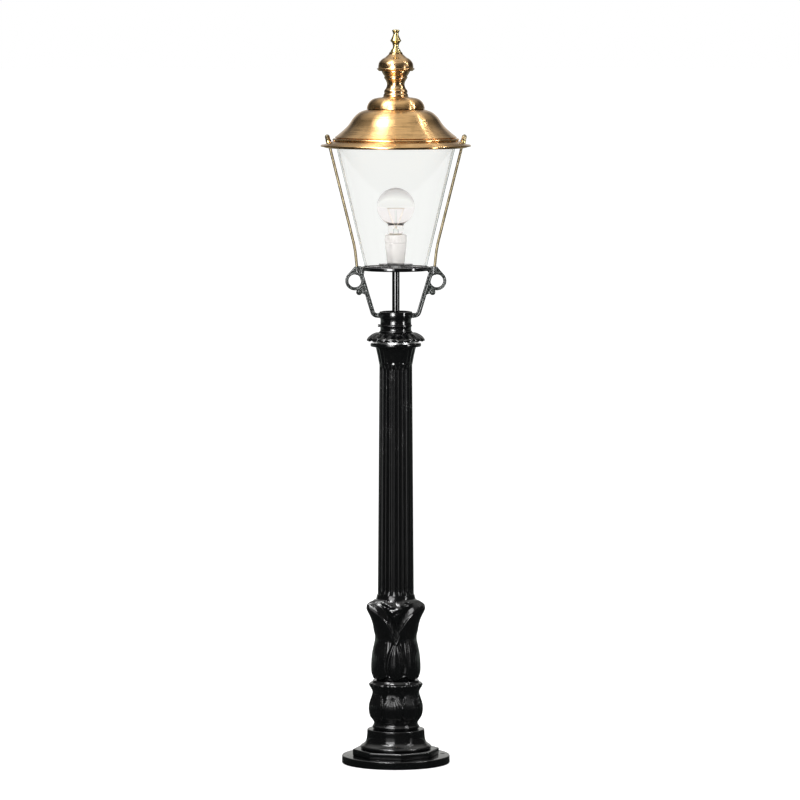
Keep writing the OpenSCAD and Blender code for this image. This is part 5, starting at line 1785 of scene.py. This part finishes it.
@dataclass
class DomeNuts(Assembly):
    """Dome nuts that hold the brim on the stays, and the washers under them."""

    title = "dome nuts"
    body = "nut_right"
    height: float = 13.5
    dome_share: float = 0.86
    bore_r: float = 3.18
    bore_h: float = 8.6
    sides: int = 6
    seat: NutSeat = NutSeat()

    def nut(self) -> Form:
        """Six-sided nut with a flange below and a dome on top, leaning with the stay."""
        r, h = self.seat.flange_r, self.height
        dome_r = r * self.dome_share
        body = h - dome_r
        flats = Form.cylinder(r, 0.9, body + 1.2, self.sides)
        flats.round_edges(0.35, 2, 20)
        flats.drilled(Form.cylinder(self.bore_r + 0.6, -1, h, 48))
        outline = [(self.bore_r, 0), (r - 0.35, 0), (r, 0.4), (r - 0.1, 1.1), (dome_r, 1.5)]
        outline += [(dome_r, body)] + arc((0, body), dome_r, 4, 84, 14) + [(0, h)]
        outline += [(0, self.bore_h), (self.bore_r, self.bore_h)]
        nut = Form.turned(outline, 64, closed=True)
        return nut.united(flats).moved(self.seat.leaning())

    def build(self) -> None:
        """Make and dress the pieces."""
        right = self.nut()
        left = right.mirrored()
        self.add(left, "cap_nut_left", Look.DULL_BRASS, "dome_nut_left", body="nut_left")
        self.add(right, "cap_nut_right", Look.DULL_BRASS, "dome_nut_right")
        self.dress(Look.BRASS, "washer_left", "washer_right")


@dataclass
class Roof(Assembly):
    """Spun roof: brim, ring under it, bell and crown dome."""

    title = "roof"
    body = "roof"
    sheet: float = 1.5
    inner_r: float = 110.5
    bead_r: float = 133
    bell_r: float = 63
    bell_h: float = 66
    lid_rise: float = 1.5
    hole_r: float = 4.1
    drop: float = 9
    vents: int = 8
    vent_r: float = 4
    slot_r: float = 3.5
    slot_out: float = 5.8
    rim_gap: float = 0.03
    brim_lip: float = 2.4
    bead: float = 2.6
    brim: Span = span("roof_brim")
    bell: Span = span("roof_bell")
    crown: Span = span("crown_dome")
    ring: Span = span("brim_ring")
    seat: NutSeat = NutSeat()

    def walled(self, top: list[Point], steps: int = 256) -> Form:
        """Spun sheet: an outline of its upper side, given the thickness of the sheet below.

        Args:
            top: (radius, height) points from the inner edge outwards.
            steps: facets round it.

        Returns:
            The closed shell.
        """
        below = []
        for i, (r, z) in enumerate(top):
            before, after = top[max(i - 1, 0)], top[min(i + 1, len(top) - 1)]
            along = Vector((after[0] - before[0], after[1] - before[1])).normalized()
            below.append((r + self.sheet * along.y, z - self.sheet * along.x))
        return Form.turned(top + below[::-1], steps, closed=True)

    def slots(self) -> Form:
        """Room round both stays, open outwards so that the roof lifts off."""
        half = self.slot_r
        bore = Form.cylinder(half, -40, 20, 48).moved(self.seat.leaning())
        way = Form.block((-half / 2, -half, -24), (self.slot_out, half, 4))
        return bore.united(way.shift(self.seat.out, 0, self.seat.height())).around(2)

    def brim_sheet(self) -> Form:
        """Brim that falls outwards from the bead to a rolled lip."""
        top, r, foot = self.brim.high, self.brim.reach - self.rim_gap, self.brim.high - self.drop
        bead, lip = self.bead_r, self.brim_lip
        outline = [(self.inner_r, top), (bead - 3, top), (bead - 1, top), (bead + 0.6, top - 0.35)]
        outline += [(bead + 2.4, top - 1.1), (r - 9.6, foot + 3.1), (r - 7.4, foot + 1.1)]
        outline += [(r - 5.4, foot + 0.5)] + arc((r - lip, foot - lip + 1.6), lip, 68, -40, 10)
        return self.walled(outline).drilled(self.slots())

    def stiffener(self) -> Form:
        """Second lip under the brim, with a rolled edge."""
        low, high, out = self.ring.low, self.ring.high, self.ring.reach
        inner = out - 9
        outline = [(inner, low + 0.6), (inner + 0.8, low), (out - 3.2, low + 0.1)]
        outline += [(out - 1, low + 0.9), (out, low + 2.2), (out, high - 3.0), (inner, high)]
        return Form.turned(outline, 256, closed=True).drilled(self.slots())

    def bell_sheet(self) -> Form:
        """Bell with its flat lid, and the bead rolled round its foot."""
        h, lid, bead = self.bell_h, self.bell_h + self.lid_rise, self.bead
        width = self.bead_r - self.bell_r
        flare = [
            (0.02, 0.985), (0.17, 0.925), (0.28, 0.84), (0.385, 0.72), (0.46, 0.6), (0.53, 0.5),
            (0.62, 0.4), (0.72, 0.305), (0.82, 0.215), (0.93, 0.125),
        ]
        line = [(self.bell_r - 5, h + self.lid_rise * 0.6)]
        line += [(self.bell_r + out * width, h * up) for out, up in flare]
        outline = [(self.hole_r, lid), (self.bell_r - 12, lid)] + Curve(line).line(5)
        outline += [(self.bead_r - 2.5 * bead, h * 0.088), (self.bead_r - 2.05 * bead, h * 0.07)]
        outline += arc((self.bead_r - bead, bead + 0.4), bead, 125, -60, 16)
        sheet = self.walled(raised(outline, self.bell.low + 0.02))
        vents = Form.cylinder(self.vent_r, self.bell.high - 6, self.bell.high + 4, 40)
        return sheet.drilled(vents.shift(self.bell_r * 0.5, 0, 0).around(self.vents))

    def crown_sheet(self) -> Form:
        """Crown dome over the vents, with its edge rolled under."""
        h, r = self.crown.height, self.crown.reach
        outline = [(self.hole_r, h), (30, h)]
        outline += Curve([
            (34, h - 0.1), (r * 0.66, h * 0.955), (r * 0.765, h * 0.885), (r * 0.85, h * 0.76),
            (r * 0.915, h * 0.6), (r * 0.96, h * 0.42), (r * 0.985, h * 0.25), (r - 0.15, h * 0.1),
            (r, 0.6),
        ]).line(6)
        return self.walled(raised(outline, self.crown.low))

    def build(self) -> None:
        """Make and dress the pieces."""
        self.add(self.brim_sheet(), "spun_brim", Look.COPPER, "roof_brim")
        self.add(self.stiffener(), "brim_lip", Look.COPPER, "brim_ring")
        self.add(self.bell_sheet(), "spun_bell", Look.COPPER, "roof_bell")
        self.add(self.crown_sheet(), "spun_crown", Look.COPPER, "crown_dome")
        self.dress(Look.BRASS, "crown_spacer")


@dataclass
class Finial(Assembly):
    """Turned neck, onion cap and brass spire on their rod."""

    title = "finial"
    body = "roof"
    bore_r: float = 4.1
    neck_low_r: float = 26
    throat_r: float = 18.5
    neck_top_r: float = 29.6
    rim_r: float = 39.6
    dome_r: float = 36.6
    knop_r: float = 11.8
    blind: float = 12.6
    rim: float = 1.6
    neck: Span = span("finial_neck")
    cap: Span = span("finial_cap")
    spire: Span = span("finial_spire")

    def turned_neck(self) -> Form:
        """Foot, groove, throat and the flare under the cap."""
        h, f, t = self.neck.height, self.neck_low_r, self.throat_r
        foot = [(0.05, 0.1), (-1.3, 0.135), (-1.9, 0.16), (-1.3, 0.2), (-1.5, 0.25), (-2.6, 0.29)]
        throat = [(2.3, 0.35), (0.6, 0.43), (0, 0.5), (0.8, 0.57), (2.3, 0.635), (4, 0.69)]
        flare = [(-1.6, 0.92), (-0.3, 0.965), (0, 1)]
        outline = [(self.bore_r, 0), (f + 2.6, 0), (f + 3, 0.4), (f + 1.4, 1.3)]
        outline += Curve([(f - 0.1, 2.2)] + profile(f, h, foot) + profile(t, h, throat)).line(4)
        outline += [(t + 5.3, h * 0.712)] + arc((t + 4.9, h * 0.765), 1.5, -70, 70, 8)
        outline += [(t + 5.4, h * 0.815)]
        outline += Curve([(t + 7.1, h * 0.845)] + profile(self.neck_top_r, h, flare)).line(5)
        outline += [(self.bore_r, h)]
        return Form.turned(raised(outline, self.neck.low), 160, closed=True)

    def onion_cap(self) -> Form:
        """Onion cap with its rolled rim, hollow inside."""
        low, h, d, rim = self.cap.low, self.cap.height, self.dome_r, self.rim
        swell = [(0.2, 0.29), (-0.4, 0.38), (-1.5, 0.47), (-4.6, 0.58)]
        draw = [(0.76, 0.68), (0.62, 0.755), (0.535, 0.82), (0.46, 0.885), (0.4, 0.945), (0.39, 1)]
        outline = [(self.bore_r, 0), (self.rim_r - 3.8, 0), (self.rim_r - 2.2, 2.2)]
        outline += arc((self.rim_r - rim, 4.6), rim, -60, 90, 10)
        outline += [(self.rim_r - rim - 1.1, 6.4)]
        top = [(d * out, h * up) for out, up in draw]
        outline += Curve([(d + 0.4, 7.6)] + profile(d, h, swell) + top).line(5)
        outline += [(self.bore_r, h)]
        inner, bore = d - 4.2, self.bore_r + 3
        room = [(bore, 3), (inner, 3), (inner - 1, h * 0.38), (inner * 0.62, h * 0.56)]
        room += [(bore, h * 0.64)]
        solid = Form.turned(raised(outline, low), 180, closed=True)
        return solid.drilled(Form.turned(raised(room, low), 96, closed=True))

    def brass_spire(self) -> Form:
        """Flanged foot, pointed knop and the bud at the tip."""
        low, h, k = self.spire.low, self.spire.height, self.knop_r
        stem = [(-4.5, 0.185), (-5.6, 0.235), (-5.8, 0.3), (-5, 0.37), (-3.2, 0.445), (-0.8, 0.5)]
        bud = [
            (-1, 0.55), (-2.7, 0.62), (-4.6, 0.7), (-6, 0.775), (-6.2, 0.815), (-5.4, 0.875),
            (-4.2, 0.925), (-3.8, 0.95), (-4.4, 0.975), (-6.4, 0.993), (-8.8, 0.999),
        ]
        outline = [(0, self.blind), (self.bore_r, self.blind), (self.bore_r, 0), (k + 1.3, 0)]
        outline += [(k + 1.7, 0.4), (k + 1.7, 1.2), (k + 1, 1.9), (k - 0.6, 2.6)]
        outline += profile(k, h, [(-2.2, 0.13), (-3.6, 0.165)])
        outline += Curve(profile(k, h, stem)).line(4) + [(k, h * 0.522)]
        outline += Curve(profile(k, h, bud) + [(0, h)]).line(4)
        return Form.turned([(max(r, 0), low + min(z, h)) for r, z in outline], 128)

    def build(self) -> None:
        """Make and dress the pieces."""
        self.add(self.turned_neck(), "turned_neck", Look.TURNED_COPPER, "finial_neck")
        self.add(self.onion_cap(), "onion_cap", Look.TURNED_COPPER, "finial_cap")
        self.add(self.brass_spire(), "brass_spire", Look.BRASS, "finial_spire")
        self.dress(Look.ZINC, "finial_rod", "finial_nut")


@dataclass(frozen=True)
class SoftBox:
    """A soft box turned to the post.

    It stands at an azimuth in degrees, 0 at the camera and positive to the right, some metres
    away from the axis, with its middle at a height. Its size is width and height in metres and
    its level the brightness of its face. With shine it only shows in reflections, and without
    it only lights matt surfaces.
    """

    name: str
    azimuth: float
    away: float
    height: float
    size: Point
    level: float
    shine: bool = True
    highest_aim: float = 1.35

    def build(self) -> None:
        """Set the lamp up."""
        data = bpy.data.lights.new(self.name, "AREA")
        data.shape = "RECTANGLE"
        data.size, data.size_y = self.size
        data.energy = self.level * math.pi * self.size[0] * self.size[1]
        made = in_scene(self.name, data)
        turn = math.radians(self.azimuth)
        made.location = (self.away * math.sin(turn), -self.away * math.cos(turn), self.height)
        made.visible_diffuse = not self.shine
        made.visible_glossy = self.shine
        made.visible_transmission = False
        aim = Vector((0, 0, min(self.height, self.highest_aim))) - made.location
        made.rotation_euler = aim.to_track_quat("-Z", "Y").to_euler()


@dataclass
class Studio:
    """Camera, lamps, floor and surroundings, in metres."""

    distance: float = 10.8
    eye_height: float = 1.64
    aim_height: float = 0.7697
    aside: float = 0.0088
    view_width: float = 1.6856
    sensor: float = 36
    floor_size: float = 90
    front_level: float = 0.07
    side_level: float = 0.05
    back_level: float = 0.6
    upper_level: float = 0.9
    plain_level: float = 0.55
    floor_level: float = 0.05
    floor_drop: float = 0.0005
    floor_glow: float = 0.66
    lamps: tuple[SoftBox, ...] = (
        SoftBox("left_light", -30, 3.2, 2.2, (1.8, 2.2), 4.4, shine=False),
        SoftBox("right_light", 60, 3.2, 2.2, (1.4, 2.0), 3.6, shine=False),
        SoftBox("back_light", 170, 4.0, 2.6, (2.4, 1.8), 1.2, shine=False),
        SoftBox("left_shine", -22, 3.2, 1.45, (1.9, 1.2), 7),
        SoftBox("left_low_shine", -22, 3.2, 0.44, (1.9, 0.8), 0.9),
        SoftBox("left_flare_shine", -24, 2.4, 2.6, (0.5, 0.4), 34),
        SoftBox("right_flare_shine", 85, 2.4, 2.6, (0.25, 0.4), 40),
        SoftBox("left_near_shine", -20, 1.2, 1.1, (0.36, 0.45), 22),
        SoftBox("high_shine", -52, 1.9, 3.8, (0.75, 2.2), 12),
        SoftBox("high_wide_shine", -46, 2.1, 3.9, (2.6, 2.4), 2.4),
        SoftBox("right_shine", 62, 3.0, 1.45, (0.3, 1.2), 6),
        SoftBox("right_low_shine", 62, 3.0, 0.44, (0.4, 0.8), 0.9),
        SoftBox("right_near_shine", 60, 1.2, 1.1, (0.14, 0.45), 22),
        SoftBox("edge_shine", 92, 2.2, 3.8, (0.06, 0.3), 170),
    )

    def camera(self) -> None:
        """Long lens at the height of a standing eye."""
        data = bpy.data.cameras.new("camera")
        reach = math.hypot(self.distance, self.eye_height - self.aim_height)
        data.sensor_width = self.sensor
        data.lens = self.sensor * reach / self.view_width
        data.clip_start, data.clip_end = 0.1, 200
        made = in_scene("camera", data)
        made.location = (self.aside, -self.distance, self.eye_height)
        down = math.atan2(self.eye_height - self.aim_height, self.distance)
        made.rotation_euler = (math.pi / 2 - down, 0, 0)
        bpy.context.scene.camera = made

    def floor(self) -> None:
        """Pale floor that fades into the white surroundings and keeps the shadow."""
        mesh = bmesh.new()
        bmesh.ops.create_circle(mesh, cap_ends=True, segments=64, radius=self.floor_size)
        data = bpy.data.meshes.new("floor")
        mesh.to_mesh(data)
        made = in_scene("floor", data)
        made.location.z = -self.floor_drop
        material = bpy.data.materials.new("floor")
        material.use_nodes = True
        data.materials.append(material)
        net = Net(material.node_tree)
        path = net.node("ShaderNodeLightPath")
        camera, through = net.wire(path, "Is Camera Ray"), net.wire(path, "Is Transmission Ray")
        level = net.step(net.axes()[1], 0.3, 4.0, self.floor_level, self.back_level)
        dark = net.mix(level, (0, 0, 0, 1), (0.9, 1, 0.93, 1))
        colour = net.mix(net.wire(path, "Is Glossy Ray"), (0.8, 0.8, 0.8, 1), dark)
        matt = net.node("ShaderNodeBsdfDiffuse", {}, {"Color": colour})
        seen = net.math("MAXIMUM", camera, through) * self.floor_glow
        glow = net.node("ShaderNodeEmission", {}, {"Color": (1, 1, 1, 1), "Strength": seen})
        both = net.node("ShaderNodeAddShader", {}, {0: net.wire(matt), 1: net.wire(glow)})
        net.output(net.wire(both))

    def surroundings(self) -> None:
        """White to the camera and through glass, a grey studio to reflections."""
        world = bpy.data.worlds.new("studio")
        bpy.context.scene.world = world
        world.use_nodes = True
        net = Net(world.node_tree)
        ahead = net.wire(net.node("ShaderNodeTexCoord"), "Generated")
        parts = net.node("ShaderNodeSeparateXYZ", {}, {0: ahead})
        side, back, up = (net.wire(parts, axis) for axis in range(3))
        side = net.math("ABSOLUTE", side)
        around = net.step(back, -0.9, -0.3, self.front_level, self.side_level)
        around = around + net.step(back, 0.8, 0.97, 0.0, self.back_level)
        above = net.step(side, 0.3, 0.85, self.upper_level, self.side_level * 3)
        level = around + net.step(up, 0.35, 0.8) * above
        studio = net.mix(level, (0, 0, 0, 1), (1, 1, 0.97, 1))
        path = net.node("ShaderNodeLightPath")
        camera, through = net.wire(path, "Is Camera Ray"), net.wire(path, "Is Transmission Ray")
        direct = 1 - net.math("MINIMUM", net.wire(path, "Diffuse Depth"), 1)
        white = net.math("MAXIMUM", camera, through * direct)
        plain = (self.plain_level, self.plain_level, self.plain_level, 1)
        lit = net.mix(net.wire(path, "Is Glossy Ray"), plain, studio)
        colour = net.mix(white, lit, (1, 1, 1, 1))
        sky = net.node("ShaderNodeBackground", {}, {"Color": colour, "Strength": 1.0})
        net.node("ShaderNodeOutputWorld", {}, {0: net.wire(sky)})

    def build(self) -> None:
        """Set the studio up."""
        self.camera()
        for lamp in self.lamps:
            lamp.build()
        self.floor()
        self.surroundings()
        bpy.context.scene.view_settings.view_transform = "Standard"


def main() -> None:
    """Build the studio and every assembly in order."""
    logging.basicConfig(level=logging.INFO, format="%(name)s %(message)s")
    Studio().build()
    assemblies: Iterable[Assembly] = (
        Foot(), Bulb(), Vase(), Column(), Capital(), Socket(), Brackets(), Seat(), LampHolder(),
        Lamp(), Stays(), DomeNuts(), Roof(), Finial(),
    )
    for assembly in assemblies:
        assembly.build()


if __name__ == "__main__":
    main()
